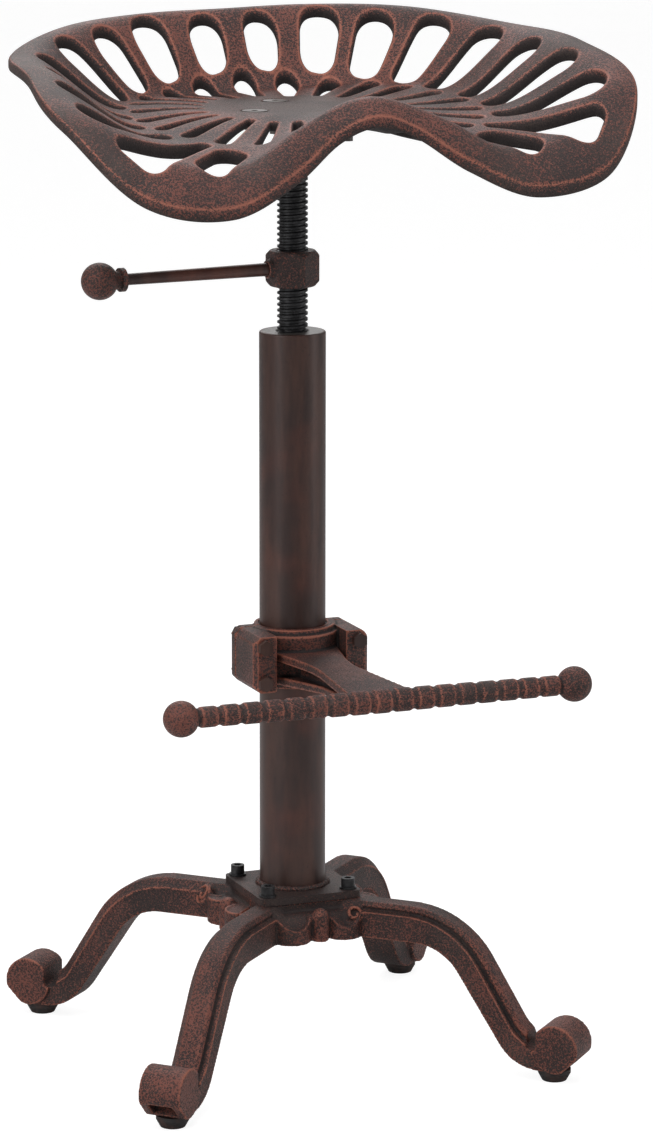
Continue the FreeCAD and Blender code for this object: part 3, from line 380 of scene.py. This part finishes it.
def seat_plan():
    """Triangles of the seat's plan between its rim, its openings, lines beside each for the rounded
    edges, and a grid of points; also the lines of the rim and the openings."""
    holes = []
    for angle_in, r_in, w_in, angle_out, r_out, w_out in LONG_SLOTS:
        holes.append(slot_corners(polar(r_in, angle_in), w_in, polar(r_out, angle_out), w_out))
    for angle, r_in, r_out, w_out in FAN_SLOTS:
        holes.append(slot_corners(polar(r_in, angle), FAN_TIP, polar(r_out, angle), w_out))
    holes.append((np.array(CORNER_OPENING, float), CORNER_RADII))
    lobe_in, lobe_out = np.array(LOBE_HOLE, float)
    holes.append(slot_corners(lobe_in, LOBE_HOLE_WIDTH, lobe_out, LOBE_HOLE_WIDTH))
    both = []
    for corners, radii in holes:
        both.append((corners, radii))
        if abs(corners[:, 0].mean()) > 1:
            both.append((corners * (-1, 1), radii))
    half = SCREW_HEAD + 0.1
    square = np.array([(-half, -half), (half, -half), (half, half), (-half, half)])
    for x, y in SEAT_SCREWS:
        both.append((square + (x, y), [SCREW_HEAD] * 4))
    edges_of = [rim_line(RIM_POINTS, 0.0)] + [rounded_line(c, r, 2.4) for c, r in both]
    lines = list(edges_of)
    for inset in (0.35, 1.1, SEAT_ROUND, 4.0):
        lines.append(rim_line(RIM_POINTS, inset))
        lines += [rounded_line(c, r, 2.6, inset) for c, r in both]
    step = 4.2
    x, y = np.meshgrid(np.arange(-250, 251, step), np.arange(-230, 160, step))
    x = x + (np.arange(x.shape[0]) % 2)[:, None] * step / 2
    grid = np.stack([x.ravel(), y.ravel()], 1)
    grid = grid[np.hypot(*grid.T) < rim_at(grid) - 5]
    grid = grid[gap_to(grid, edges_of) > 5.6]
    points = np.concatenate(lines + [grid])
    edges = []
    first = 0
    for line in lines:
        here = first + np.arange(len(line))
        edges.append(np.stack([here, np.roll(here, -1)], 1))
        first += len(line)
    points = [Vector(p) for p in points.tolist()]
    made = geometry.delaunay_2d_cdt(points, np.concatenate(edges).tolist(), [], 0, 1e-5, False)
    plan = np.array([tuple(p) for p in made[0]])
    faces = np.array([f for f in made[2] if len(f) == 3])
    middle = plan[faces].mean(1)
    keep = np.hypot(*middle.T) < rim_at(middle) + 0.2
    keep &= inside_count(middle, edges_of[0]) > 0
    for line in edges_of[1:]:
        near = np.abs(middle - line.mean(0)).max(1) < np.ptp(line, 0).max()
        picked = np.flatnonzero(keep & near)
        keep[picked[inside_count(middle[picked], line) > 0]] = False
    faces = faces[keep]
    p, q, r = plan[faces[:, 0]], plan[faces[:, 1]], plan[faces[:, 2]]
    turn = (q[:, 0] - p[:, 0]) * (r[:, 1] - p[:, 1]) - (q[:, 1] - p[:, 1]) * (r[:, 0] - p[:, 0])
    faces[turn < 0] = faces[turn < 0][:, ::-1]
    faces = faces[np.abs(turn) > 1e-9]
    used, faces = np.unique(faces, return_inverse=True)
    return plan[used], faces.reshape(-1, 3), edges_of


def inside_count(points, line):
    """1 for points inside a closed line, else 0, by the crossings of a level ray."""
    a = line
    b = np.roll(line, -1, 0)
    x, y = points[:, 0, None], points[:, 1, None]
    spans = (a[:, 1] > y) != (b[:, 1] > y)
    rise = np.where(b[:, 1] == a[:, 1], 1e-12, b[:, 1] - a[:, 1])
    cross = a[:, 0] + (y - a[:, 1]) * (b[:, 0] - a[:, 0]) / rise
    return (spans & (x < cross)).sum(1) % 2


def new_piece(name, points_mm, faces, material):
    """A mesh object at the origin from points in millimetres and rows of faces."""
    mesh = bpy.data.meshes.new(name)
    mesh.from_pydata((np.asarray(points_mm) / 1000).tolist(), [], faces)
    mesh.validate()
    mesh.polygons.foreach_set("use_smooth", np.full(len(mesh.polygons), True))
    mesh.materials.append(material)
    piece = bpy.data.objects.new(name, mesh)
    scene.collection.objects.link(piece)
    return piece


def give(piece, name, values):
    """A number for each point of a piece, for its material to read."""
    layer = piece.data.attributes.new(name, "FLOAT", "POINT")
    layer.data.foreach_set("value", np.asarray(values, np.float32))


LACQUER_DARK = (0.011, 0.008, 0.009)
LACQUER_BROWN = (0.040, 0.024, 0.021)
LACQUER_DUST_AND_SHEEN = (0.090, 0.062, 0.053)
HOLLOW_LACQUER_AND_SHADE = (0.010, 0.008, 0.009)
COPPER_DULL = (0.140, 0.043, 0.031)
COPPER_BRIGHT = (0.34, 0.118, 0.074)


def cast_iron(name, copper=0.0, grain=1.0):
    """Black-brown lacquer over sand-cast grain, rubbed to copper red in speckles: few in hollows, many
    on edges (attribute wear) and where hands and clothes rub (attribute worn). The copper on edges is
    also made brighter as a painted highlight, and where wear is below zero the colour goes near black:
    lacquer left in hollows together with painted shade, and on the seat painted shade down its openings
    and under it. Grey clouds of dust lie over the lacquer, more where worn is low; on the seat's hub
    they stand for a painted sheen, and worn also carries painted light on the legs' crowns. With
    copper the whole piece is rubbed more or less, and grain scales the roughness of the cast."""
    f = Finish(name)
    at = f.place()
    wear_highlight_and_shade = f.number("ShaderNodeAttribute", {"attribute_name": "wear_highlight_and_shade"}, None, "Fac")
    worn_and_lit = f.number("ShaderNodeAttribute", {"attribute_name": "worn_and_lit"}, None, "Fac")
    sand = f.noise(at, 700, 2, 0.6)
    pits = f.noise(at, 1500, 2, 0.6)
    cloud = f.noise(at, 34, 3, 0.6).step(0.3, 0.7)
    patch = f.noise(at, 11, 2, 0.5).step(0.32, 0.68)
    speck = (sand * 0.6 + pits * 0.4).step(0.32, 0.66)
    # Edges: rubbed copper and a painted highlight; below zero: hollows and painted shade.
    edge = wear_highlight_and_shade.step(0.1, 0.8)
    sunk = (wear_highlight_and_shade * -1).step(0.08, 0.8)
    rub = (cloud * 0.26 + patch * 0.24 + 0.16 + copper + worn_and_lit * 0.6) + edge * 0.5 - sunk * 0.55
    share = (speck + rub - 1).step(-0.05, 0.35)
    ground = f.mix(pits.step(0.3, 0.7), LACQUER_DARK, LACQUER_BROWN)
    # Grey dust, which on the seat's hub also stands for a painted sheen.
    grey = (f.noise(at, 18, 2, 0.5).step(0.4, 0.8) - worn_and_lit).math("MAXIMUM", 0.0) * speck
    ground = f.mix(grey.math("MINIMUM", 0.6), ground, LACQUER_DUST_AND_SHEEN)
    # Brighter copper on edges and crowns: partly a painted highlight.
    bright = (edge * 0.5 + pits * 0.5 + worn_and_lit * 0.2).step(0.15, 1.15)
    tone = f.mix(share, ground, f.mix(bright, COPPER_DULL, COPPER_BRIGHT))
    # Near black in hollows: lacquer left there and painted shade, on the seat down its openings and under
    # it.
    tone = f.mix(sunk * 0.7, tone, HOLLOW_LACQUER_AND_SHADE)
    normal = f.bump(sand * 0.5 + pits * 0.5, 0.0010 * grain)
    rough = 0.55 + share * -0.1 + sunk * 0.2
    return f.shaded({
        "Base Color": tone, "Metallic": 0.25, "Roughness": rough,
        "Normal": normal, "Specular IOR Level": 0.36,
    })


# The upper and the lower face share one plan, and walls join them along the rim and the openings. The
# upper face dips in a quarter circle at each edge; the lower one closes in round each screw's hole.
plan, seat_faces, seat_edges = seat_plan()
off = gap_to(plan, seat_edges)
dip = SEAT_ROUND - np.sqrt(np.maximum(SEAT_ROUND**2 - np.maximum(SEAT_ROUND - off, 0) ** 2, 0))
upper = dish(plan)
radius = np.hypot(*plan.T)
share = radius / rim_at(plan)
wall = SEAT_THICK + SEAT_WALL_ADD * (smooth(share, 0.35, 0.65) - 0.6 * smooth(share, 0.86, 1.0))
lower = upper - wall + dip
lower = np.where(radius < FLANGE_SEAT, np.maximum(lower, SEAT_HUB - SEAT_THICK + FLANGE_GAP), lower)
low_plan = plan.copy()
for x, y in SEAT_SCREWS:
    reach = np.hypot(plan[:, 0] - x, plan[:, 1] - y)
    drawn_in = 1 - (1 - SCREW_SHANK / SCREW_HEAD) * (1 - smooth(reach, SCREW_HEAD, SCREW_SWELL))
    draw = np.where(reach < SCREW_SWELL, drawn_in, 1)
    low_plan = np.array((x, y)) + (low_plan - np.array((x, y))) * draw[:, None]
count = len(plan)
ends = np.concatenate([seat_faces[:, [0, 1]], seat_faces[:, [1, 2]], seat_faces[:, [2, 0]]])
_, place, times = np.unique(np.sort(ends, 1), axis=0, return_inverse=True, return_counts=True)
start, end = ends[times[place.ravel()] == 1].T
walls = np.stack([start, start + count, end + count, end], 1)
points = np.concatenate([np.column_stack([plan, upper - dip]), np.column_stack([low_plan, lower])])
faces = seat_faces.tolist() + (seat_faces[:, ::-1] + count).tolist() + walls.tolist()
seat = new_piece("seat_casting", points, faces, cast_iron("seat_iron"))

# Copper shows as a thin line a little inside the rim and each opening, partly rubbed copper and
# partly a painted highlight on the rounded edge; painted shade lies in a band inside the rim, right
# at each opening's edge, down the walls and over the underside. More copper shows on the nose, on
# the ribs at the back and on the right edge; the hub and the left edge keep their lacquer, and the
# hub's extra grey is a painted sheen.
to_rim = gap_to(plan, seat_edges[:1])
to_hole = gap_to(plan, seat_edges[1:])
# Lines of copper with a painted highlight at the edges, and a band of painted shade inside the rim.
line_at_hole = 0.95 * np.exp(-((to_hole - 1.6) / 0.8) ** 2) * smooth(radius, 50, 64)
line_at_rim = 0.75 * np.exp(-((to_rim - 1.4) / 0.9) ** 2) - 0.4 * np.exp(-((to_rim - 5.0) / 2.2) ** 2)
shade_at_hole = -0.35 * np.exp(-(to_hole / 0.6) ** 2)
give(seat, "wear_highlight_and_shade", np.concatenate([
    np.where(line_at_hole > line_at_rim, line_at_hole, line_at_rim) + shade_at_hole,
    # The lower face and the walls' lower ends: painted shade, lighter near the rim.
    np.where(to_rim < 3, -0.35, -0.9),
]))
nose = np.exp(-(((plan[:, 0] - 6) / 75) ** 2 + ((plan[:, 1] + 140) / 30) ** 2))
ribs = np.exp(-((radius - 128) / 30) ** 2) * smooth(plan[:, 1], 10, 70)
edge_right = smooth(plan[:, 0], 150, 235) * smooth(-plan[:, 1], 20, 110)
worn_and_lit = 0.28 * nose + 0.3 * ribs + 0.3 * edge_right
# The hub and the left edge get less copper and more grey; on the hub the grey is a painted sheen.
hub = 1 - smooth(radius, 52, 75)
edge_left = smooth(-plan[:, 0], 150, 200) * smooth(plan[:, 1], -140, -60)
worn_and_lit = worn_and_lit - 0.3 * hub - 0.22 * edge_left
give(seat, "worn_and_lit", np.concatenate([worn_and_lit, worn_and_lit - 0.3]))
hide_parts("seat")
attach(seat, "seat_set")


# The base: two iron castings bolted together under the plate, each with two scroll legs and its half
# of the bosses round the hub; a curl of bead lies on one boss in front and on one at the side. The
# skin is the solid's own, netted anew so that edges round off.

SMOOTH_IN = 0.55
SMOOTH_OUT = 0.57
CALM_PASSES = 5


def skin_of(node, voxel, passes, extra=()):
    """Cast skin of a solid: its mesh, joined with more shapes, covered by one even net, and smoothed by
    steps in and out again, which keep its size (Taubin)."""
    net = bmesh.new()
    net.from_mesh(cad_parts[node].data)
    bmesh.ops.remove_doubles(net, verts=net.verts, dist=1e-6)
    mesh = bpy.data.meshes.new("skin")
    net.to_mesh(mesh)
    net.free()
    points = np.empty(len(mesh.vertices) * 3)
    mesh.vertices.foreach_get("co", points)
    points = points.reshape(-1, 3) * 1000
    faces = [tuple(p.vertices) for p in mesh.polygons]
    for more_points, more_faces in extra:
        faces += [tuple(np.asarray(face) + len(points)) for face in more_faces]
        points = np.concatenate([points, more_points])
    mesh.clear_geometry()
    mesh.from_pydata((points / 1000).tolist(), [], faces)
    shell = bpy.data.objects.new("skin", mesh)
    scene.collection.objects.link(shell)
    remesh = shell.modifiers.new("net", "REMESH")
    remesh.mode = "VOXEL"
    remesh.voxel_size = voxel / 1000
    bpy.context.view_layer.update()
    made = bpy.data.meshes.new_from_object(shell.evaluated_get(bpy.context.evaluated_depsgraph_get()))
    bpy.data.objects.remove(shell)
    points = np.empty(len(made.vertices) * 3)
    made.vertices.foreach_get("co", points)
    points = points.reshape(-1, 3) * 1000
    edges = np.empty(len(made.edges) * 2, np.int64)
    made.edges.foreach_get("vertices", edges)
    edges = edges.reshape(-1, 2)
    quads = [tuple(p.vertices) for p in made.polygons]
    bpy.data.meshes.remove(made)
    for _ in range(passes):
        points = points + SMOOTH_IN * pull(points, edges)
        points = points - SMOOTH_OUT * pull(points, edges)
    return points, quads, edges


def pull(values, edges):
    """What each point lacks to the mean of its neighbours along the edges."""
    size = len(values)
    total = np.empty_like(values)
    a, b = edges.T
    for k in range(values.shape[1]):
        column = values[:, k]
        total[:, k] = np.bincount(a, column[b], size) + np.bincount(b, column[a], size)
    count = np.bincount(edges.ravel(), minlength=size)
    return total / np.maximum(count, 1)[:, None] - values


def normals_of(points, quads):
    """Outward normal at each point: the mean of the normals of its faces."""
    q = np.array([f for f in quads if len(f) == 4])
    across = np.cross(points[q[:, 2]] - points[q[:, 0]], points[q[:, 3]] - points[q[:, 1]])
    total = np.zeros_like(points)
    for k in range(4):
        for axis in range(3):
            total[:, axis] += np.bincount(q[:, k], across[:, axis], len(points))
    return total / np.maximum(np.linalg.norm(total, axis=1), 1e-9)[:, None]


def stand_out(points, quads, edges, scale):
    """How far each point stands out of its smoothed surroundings along its normal, in parts of scale,
    from -1 to 1."""
    calm = points
    for _ in range(CALM_PASSES):
        calm = calm + 0.8 * pull(calm, edges)
    out = ((points - calm) * normals_of(points, quads)).sum(1)
    return np.clip(out / scale, -1, 1)


def cast_piece(name, node, material, body, voxel, passes, stand_out_scale, extra=(), shape=None, rub_and_light=None):
    """A skin as a finished piece that stands for its node; shape bends it, and handled tells where it is
    rubbed more, with painted light on the base's leg crowns. The voxel is the net's mesh width in
    millimetres, and stand_out_scale is how far an edge stands out to be rubbed bare and given a painted
    highlight, or sinks in to take near-black lacquer and painted shade."""
    points, quads, edges = skin_of(node, voxel, passes, extra)
    if shape:
        points = shape(points)
    # Raised edges: rubbed copper and a painted highlight; hollows: near-black lacquer and painted shade.
    wear_highlight_and_shade = stand_out(points, quads, edges, stand_out_scale)
    piece = new_piece(name, points, quads, material)
    give(piece, "wear_highlight_and_shade", wear_highlight_and_shade)
    if rub_and_light:
        give(piece, "worn_and_lit", rub_and_light(points))
    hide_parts(node)
    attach(piece, body)


LEG_TURNS = (45, 135, 225, 315)
LEG_TOP = 119.0
SHOULDER_RADIUS = 72
RIDGE_HIGH = 0.75
RIDGE_DOWN = 6.6  # below the crown
HUB_TOP = 113.0
HUB_BOTTOM = 93.5
BOSSES = [(-18.5, -45.0, 15.0), (21.5, -44.5, 14.5)]  # middle, and half the width
CUP_DROP = 9.0
CUP_DEPTH = 1.5

# A leg's crown seen from the side, from the hub out to the scroll: level, round the shoulder, down to
# the notch; the rest closes the line.
crown_corners = [(40, 10), (205, 10), (205, 25), (186, 38), (136, LEG_TOP), (40, LEG_TOP)]
crown = rounded_line(np.array(crown_corners, float), [0.01, 0.01, 0.01, 0.01, SHOULDER_RADIUS, 0.01], 2.0)


def along_leg(points, turn):
    """How far each point lies out along a leg and to its left, and the leg's direction."""
    c, s = math.cos(math.radians(turn)), math.sin(math.radians(turn))
    x, y = points[:, 0], points[:, 1]
    return x * c + y * s, y * c - x * s, c, s


def cast_shape(points):
    """The hub's two front bosses slope down to a low rim in front, as a cup; a thin ridge follows each
    leg under its bevel, with a bell-shaped section."""
    x, y, z = points.T
    up = np.clip((z - HUB_BOTTOM) / (HUB_TOP - HUB_BOTTOM), 0, 1.1)
    for centre, middle, reach in BOSSES:
        across = np.clip(1 - ((x - centre) / reach) ** 2, 0, 1)
        front = smooth(middle - y, -3, 12) * (y > -70)
        bowl = np.exp(-(((x - centre) / 7) ** 2 + ((y - middle + 3) / 6) ** 2)) * (z > HUB_TOP - 4)
        z = z - CUP_DROP * across * front * up - CUP_DEPTH * bowl
    shaped = np.stack([x, y, z], 1)
    for turn in LEG_TURNS:
        out, left, c, s = along_leg(points, turn)
        on_flank = (np.abs(left) > 11.5) & (np.abs(left) < 13.6)
        on = np.flatnonzero((out > 50) & (out < 196) & on_flank & (points[:, 2] > 20))
        down = gap_to(np.stack([out[on], points[on, 2]], 1), [crown])
        ridge = RIDGE_HIGH * np.exp(-((down - RIDGE_DOWN) / 0.9) ** 2) * np.sign(left[on])
        shaped[on, 0] += -s * ridge
        shaped[on, 1] += c * ridge
    return shaped


def base_rubbed_and_lit(points):
    """More copper on the bosses in front and at the side, on the scrolls, and on the legs' crowns, where it
    is partly painted light on the tops.
    """
    x, y, z = points.T
    front = np.exp(-((x - 4) / 34) ** 2) * smooth(-y, 44, 54) * (y > -70)
    side = np.exp(-((y - 12) / 30) ** 2) * smooth(-x, 42, 52) * (x > -70)
    scroll = smooth(np.hypot(x, y), 192, 205) * 0.35
    on_crown = np.zeros(len(points))
    for turn in LEG_TURNS:
        out, left, _, _ = along_leg(points, turn)
        on = np.flatnonzero((out > 70) & (out < 190) & (np.abs(left) < 13))
        on_crown[on] = 1 - smooth(gap_to(np.stack([out[on], z[on]], 1), [crown]), 1.0, 3.0)
    # The crowns' share is rub and painted light on the legs' tops.
    return 0.5 * np.maximum(front, side) + scroll + 0.2 * on_crown


# Middle, outward normal and radius of each curl
FRONT_CURL = ((29.0, -50.5, 110.8), (0, -0.85, 0.53), 6.6)
SIDE_CURL = ((-57.0, 36.0, 112.6), (-0.85, 0, 0.53), 7.8)
DISC_SIDES = 36
WIRE_STEPS = 90
WIRE_SIDES = 12
WIRE_RADIUS = 1.05
DISC_SUNK = 9


def curl_frame(normal):
    """The normal in unit length, and two directions across it: level, and up the slope."""
    n = np.array(normal, float)
    n /= np.linalg.norm(n)
    level = np.cross((0, 0, 1), n)
    level /= np.linalg.norm(level)
    return n, level, np.cross(n, level)


def curl_disc(centre, normal, radius):
    """A short cylinder square to its normal, sunk into the casting, as points and faces."""
    n, level, rise = curl_frame(normal)
    a = np.linspace(0, 2 * np.pi, DISC_SIDES, endpoint=False)
    ring = radius * (np.cos(a)[:, None] * level + np.sin(a)[:, None] * rise)
    points = np.concatenate([np.array(centre) - DISC_SUNK * n + ring, np.array(centre) + ring])
    k = np.arange(DISC_SIDES)
    after = (k + 1) % DISC_SIDES
    walls = np.stack([k, after, after + DISC_SIDES, k + DISC_SIDES], 1).tolist()
    return points, walls + [k[::-1].tolist(), (k + DISC_SIDES).tolist()]


def curl_wire(centre, normal, radius, start, turns):
    """A round bead laid in a spiral: the path draws in evenly as it turns, and the bead thins out by a
    square root at its ends."""
    n, level, rise = curl_frame(normal)
    t = np.linspace(0, 1, WIRE_STEPS)
    a = math.radians(start) + 2 * np.pi * turns * t
    r = radius * (1 - 0.68 * t)
    path = np.array(centre) + r[:, None] * (np.cos(a)[:, None] * level + np.sin(a)[:, None] * rise)
    way = np.gradient(path, axis=0)
    way /= np.linalg.norm(way, axis=1)[:, None]
    out = np.cross(way, n)
    thick = WIRE_RADIUS * np.clip(np.minimum(t, 1 - t) * 14, 0.1, 1) ** 0.5
    b = np.linspace(0, 2 * np.pi, WIRE_SIDES, endpoint=False)
    ring = np.cos(b)[:, None] * out[:, None] + np.sin(b)[:, None] * n
    skin = path[:, None] + thick[:, None, None] * ring
    k = np.arange(WIRE_SIDES)
    after = (k + 1) % WIRE_SIDES
    row = np.arange(WIRE_STEPS - 1)[:, None] * WIRE_SIDES
    quads = np.stack([row + k, row + after, row + WIRE_SIDES + after, row + WIRE_SIDES + k], -1)
    caps = [k[::-1].tolist(), (k + (WIRE_STEPS - 1) * WIRE_SIDES).tolist()]
    return skin.reshape(-1, 3), quads.reshape(-1, 4).tolist() + caps


base_iron = cast_iron("base_iron", copper=-0.04)
for name, node, curl in (
    ("base_front", "base_casting_front", FRONT_CURL), ("base_rear", "base_casting_rear", SIDE_CURL),
):
    cast_piece(
        name, node, base_iron, "frame", voxel=1.1, passes=2, stand_out_scale=0.8,
        extra=[curl_disc(*curl)], shape=cast_shape, rub_and_light=base_rubbed_and_lit,
    )
for name, curl, start, turns in (
    ("curl_front", FRONT_CURL, 250, 1.35), ("curl_side", SIDE_CURL, 290, -1.35),
):
    bead_points, bead_faces = curl_wire(*curl, start, turns)
    bead = new_piece(name, bead_points, bead_faces, base_iron)
    give(bead, "wear_highlight_and_shade", np.full(len(bead_points), 0.7))
    give(bead, "worn_and_lit", np.full(len(bead_points), 0.3))
    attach(bead, "frame")


# The footrest: the front clamp half, the arm and the beaded bar are one iron casting, held to the rear
# clamp half by four bolts; both are lacquered as the base is.

rest_iron = cast_iron("footrest_iron", copper=0.03)
for name, node, stand_out_scale in (
    ("footrest_casting", "footrest", 0.36), ("clamp_rear_casting", "clamp_rear", 0.6),
):
    cast_piece(name, node, rest_iron, "footrest_set", voxel=0.9, passes=1, stand_out_scale=stand_out_scale)


# Column, plate and weld: a drawn steel tube with brown paint brushed along it, smeared with copper
# red; the square plate it is welded to, painted darker; and the weld, run round the tube's foot.

PAINT_DARK = (0.030, 0.015, 0.013)
PAINT_LIGHT = (0.060, 0.028, 0.021)
PAINT_RED = (0.17, 0.045, 0.028)
PAINT_SPECK = (0.012, 0.009, 0.009)


def brushed_paint(name):
    """Smooth brown paint over steel: soft streaks along the tube, and copper red smeared through it."""
    f = Finish(name)
    at = f.place()
    stretched = f.node("ShaderNodeMapping", None, {"Vector": at, "Scale": (1, 1, 0.16)}).outputs[0]
    streak = f.noise(stretched, 70, 3, 0.6)
    cloud = f.noise(at, 13, 3, 0.55)
    fine = f.noise(at, 520, 2, 0.6)
    tone = f.mix(streak.step(0.35, 0.7), PAINT_DARK, PAINT_LIGHT)
    smear = cloud.step(0.5, 0.72) * (0.35 + streak * 0.5)
    tone = f.mix(smear * 0.5, tone, PAINT_RED)
    tone = f.mix(fine.step(0.62, 0.72) * 0.4, tone, PAINT_SPECK)
    rough = 0.34 + streak * 0.12
    normal = f.bump(fine * 0.4 + streak * 0.3, 0.0003, 0.35)
    return f.shaded({"Base Color": tone, "Metallic": 0.3, "Roughness": rough, "Normal": normal})


def finish_node(node, material):
    """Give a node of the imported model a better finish."""
    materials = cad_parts[node].data.materials
    materials.clear()
    materials.append(material)


WELD_RADIUS = 24.9
WELD_HEIGHT = 125.7
WELD_THICK = 2.6
WELD_DABS = 42
WELD_STEPS = 360
WELD_SIDES = 16


def weld_bead(radius, height, thick):
    """A bead of weld run round the tube: a circle carried round, whose size goes in and out with each
    dab (the root of a sine) and whose place wavers by a slower sine."""
    a = np.linspace(0, 2 * np.pi, WELD_STEPS, endpoint=False)[:, None]
    b = np.linspace(0, 2 * np.pi, WELD_SIDES, endpoint=False)
    dab = np.abs(np.sin(WELD_DABS / 2 * a + 0.7 * np.sin(5 * a))) ** 0.6
    r = thick * (0.74 + 0.22 * dab + 0.10 * np.sin(7 * a + 1) * np.sin(3 * a))
    ring = radius + 0.25 * np.sin(11 * a) + r * np.cos(b)
    points = np.stack([ring * np.cos(a), ring * np.sin(a), height + r * np.sin(b)], -1)
    step = np.arange(WELD_STEPS)[:, None]
    row = step * WELD_SIDES
    next_row = (step + 1) % WELD_STEPS * WELD_SIDES
    k = np.arange(WELD_SIDES)
    after = (k + 1) % WELD_SIDES
    quads = np.stack([row + k, next_row + k, next_row + after, row + after], -1)
    return points.reshape(-1, 3), quads.reshape(-1, 4).tolist()


finish_node("column_tube", brushed_paint("column_paint"))
finish_node("column_plate", cast_iron("plate_paint", copper=-0.17, grain=0.6))
weld_points, weld_faces = weld_bead(WELD_RADIUS, WELD_HEIGHT, WELD_THICK)
weld = new_piece("weld_run", weld_points, weld_faces, cast_iron("weld_rust", copper=0.05))
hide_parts("column_weld")
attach(weld, "frame")


# The coarse screw, the fasteners and the turned parts: the screw is rolled steel, black with oxide and
# oil, and runs in the plug in the column's top; screws, washers and nuts are black too, and the plug,
# the flange and the seat's screws are turned steel left grey.

OXIDE_DARK = (0.010, 0.010, 0.011)
OXIDE_LIGHT = (0.035, 0.034, 0.036)
STEEL_DARK = (0.05, 0.045, 0.042)
STEEL_LIGHT = (0.13, 0.115, 0.105)


def steel(name, tone, light, rough):
    """Steel with a thin skin of oxide: mottled between two tones, with a dull sheen."""
    f = Finish(name)
    at = f.place()
    cloud = f.noise(at, 180, 3, 0.6)
    fine = f.noise(at, 1400, 2, 0.6)
    colour = f.mix(cloud.step(0.35, 0.75), tone, light)
    rough = rough + cloud * 0.15
    normal = f.bump(fine, 0.0002, 0.3)
    return f.shaded({"Base Color": colour, "Metallic": 0.5, "Roughness": rough, "Normal": normal})


oxide = steel("black_oxide", OXIDE_DARK, OXIDE_LIGHT, 0.38)
for node in (
    "threaded_rod", "plate_screws", "plate_washers", "clamp_washers", "clamp_nuts",
    "rod_end_washer", "rod_end_screw", "seat_nuts", "foot_pad_screws", "nut_washer",
):
    finish_node(node, oxide)
grey_steel = steel("turned_steel", STEEL_DARK, STEEL_LIGHT, 0.32)
for node in ("column_plug", "seat_flange", "seat_screws"):
    finish_node(node, grey_steel)


# Lock nut and lever: a cast hexagon nut on the screw, with a steel rod screwed into its boss, and a
# collar and a ball on the rod's end, in the same rubbed lacquer; the rod and the clamp's bolts have
# the column's brushed paint.

nut_iron = cast_iron("nut_iron")
cast_piece("lock_nut_casting", "lock_nut", nut_iron, "lock_nut_set", voxel=0.6, passes=2, stand_out_scale=0.5)
for node in ("lever_collar", "lever_ball"):
    finish_node(node, nut_iron)
lever_paint = brushed_paint("lever_paint")
for node in ("lever_rod", "clamp_bolts"):
    finish_node(node, lever_paint)


# Feet and sleeves: a moulded rubber pad screwed under each scroll, and the moulded plastic sleeves
# inside, which are the screw's guide bush and the clamp's liner.

RUBBER_DARK = (0.012, 0.010, 0.010)
RUBBER_DUST = (0.04, 0.018, 0.014)
PLASTIC_DARK = (0.02, 0.02, 0.02)
PLASTIC_LIGHT = (0.035, 0.035, 0.035)


def moulded(name, tone, light):
    """Moulded rubber or plastic: dull, slightly mottled."""
    f = Finish(name)
    at = f.place()
    cloud = f.noise(at, 150, 3, 0.6)
    fine = f.noise(at, 1500, 2, 0.6)
    colour = f.mix(cloud.step(0.4, 0.7), tone, light)
    normal = f.bump(fine, 0.0002, 0.4)
    return f.shaded({"Base Color": colour, "Roughness": 0.6 + cloud * 0.2, "Normal": normal})


rubber = moulded("black_rubber", RUBBER_DARK, RUBBER_DUST)
for corner in ("front_left", "front_right", "rear_left", "rear_right"):
    finish_node("foot_pad_" + corner, rubber)
plastic = moulded("sleeve_plastic", PLASTIC_DARK, PLASTIC_LIGHT)
for node in ("guide_bush", "clamp_liner"):
    finish_node(node, plastic)
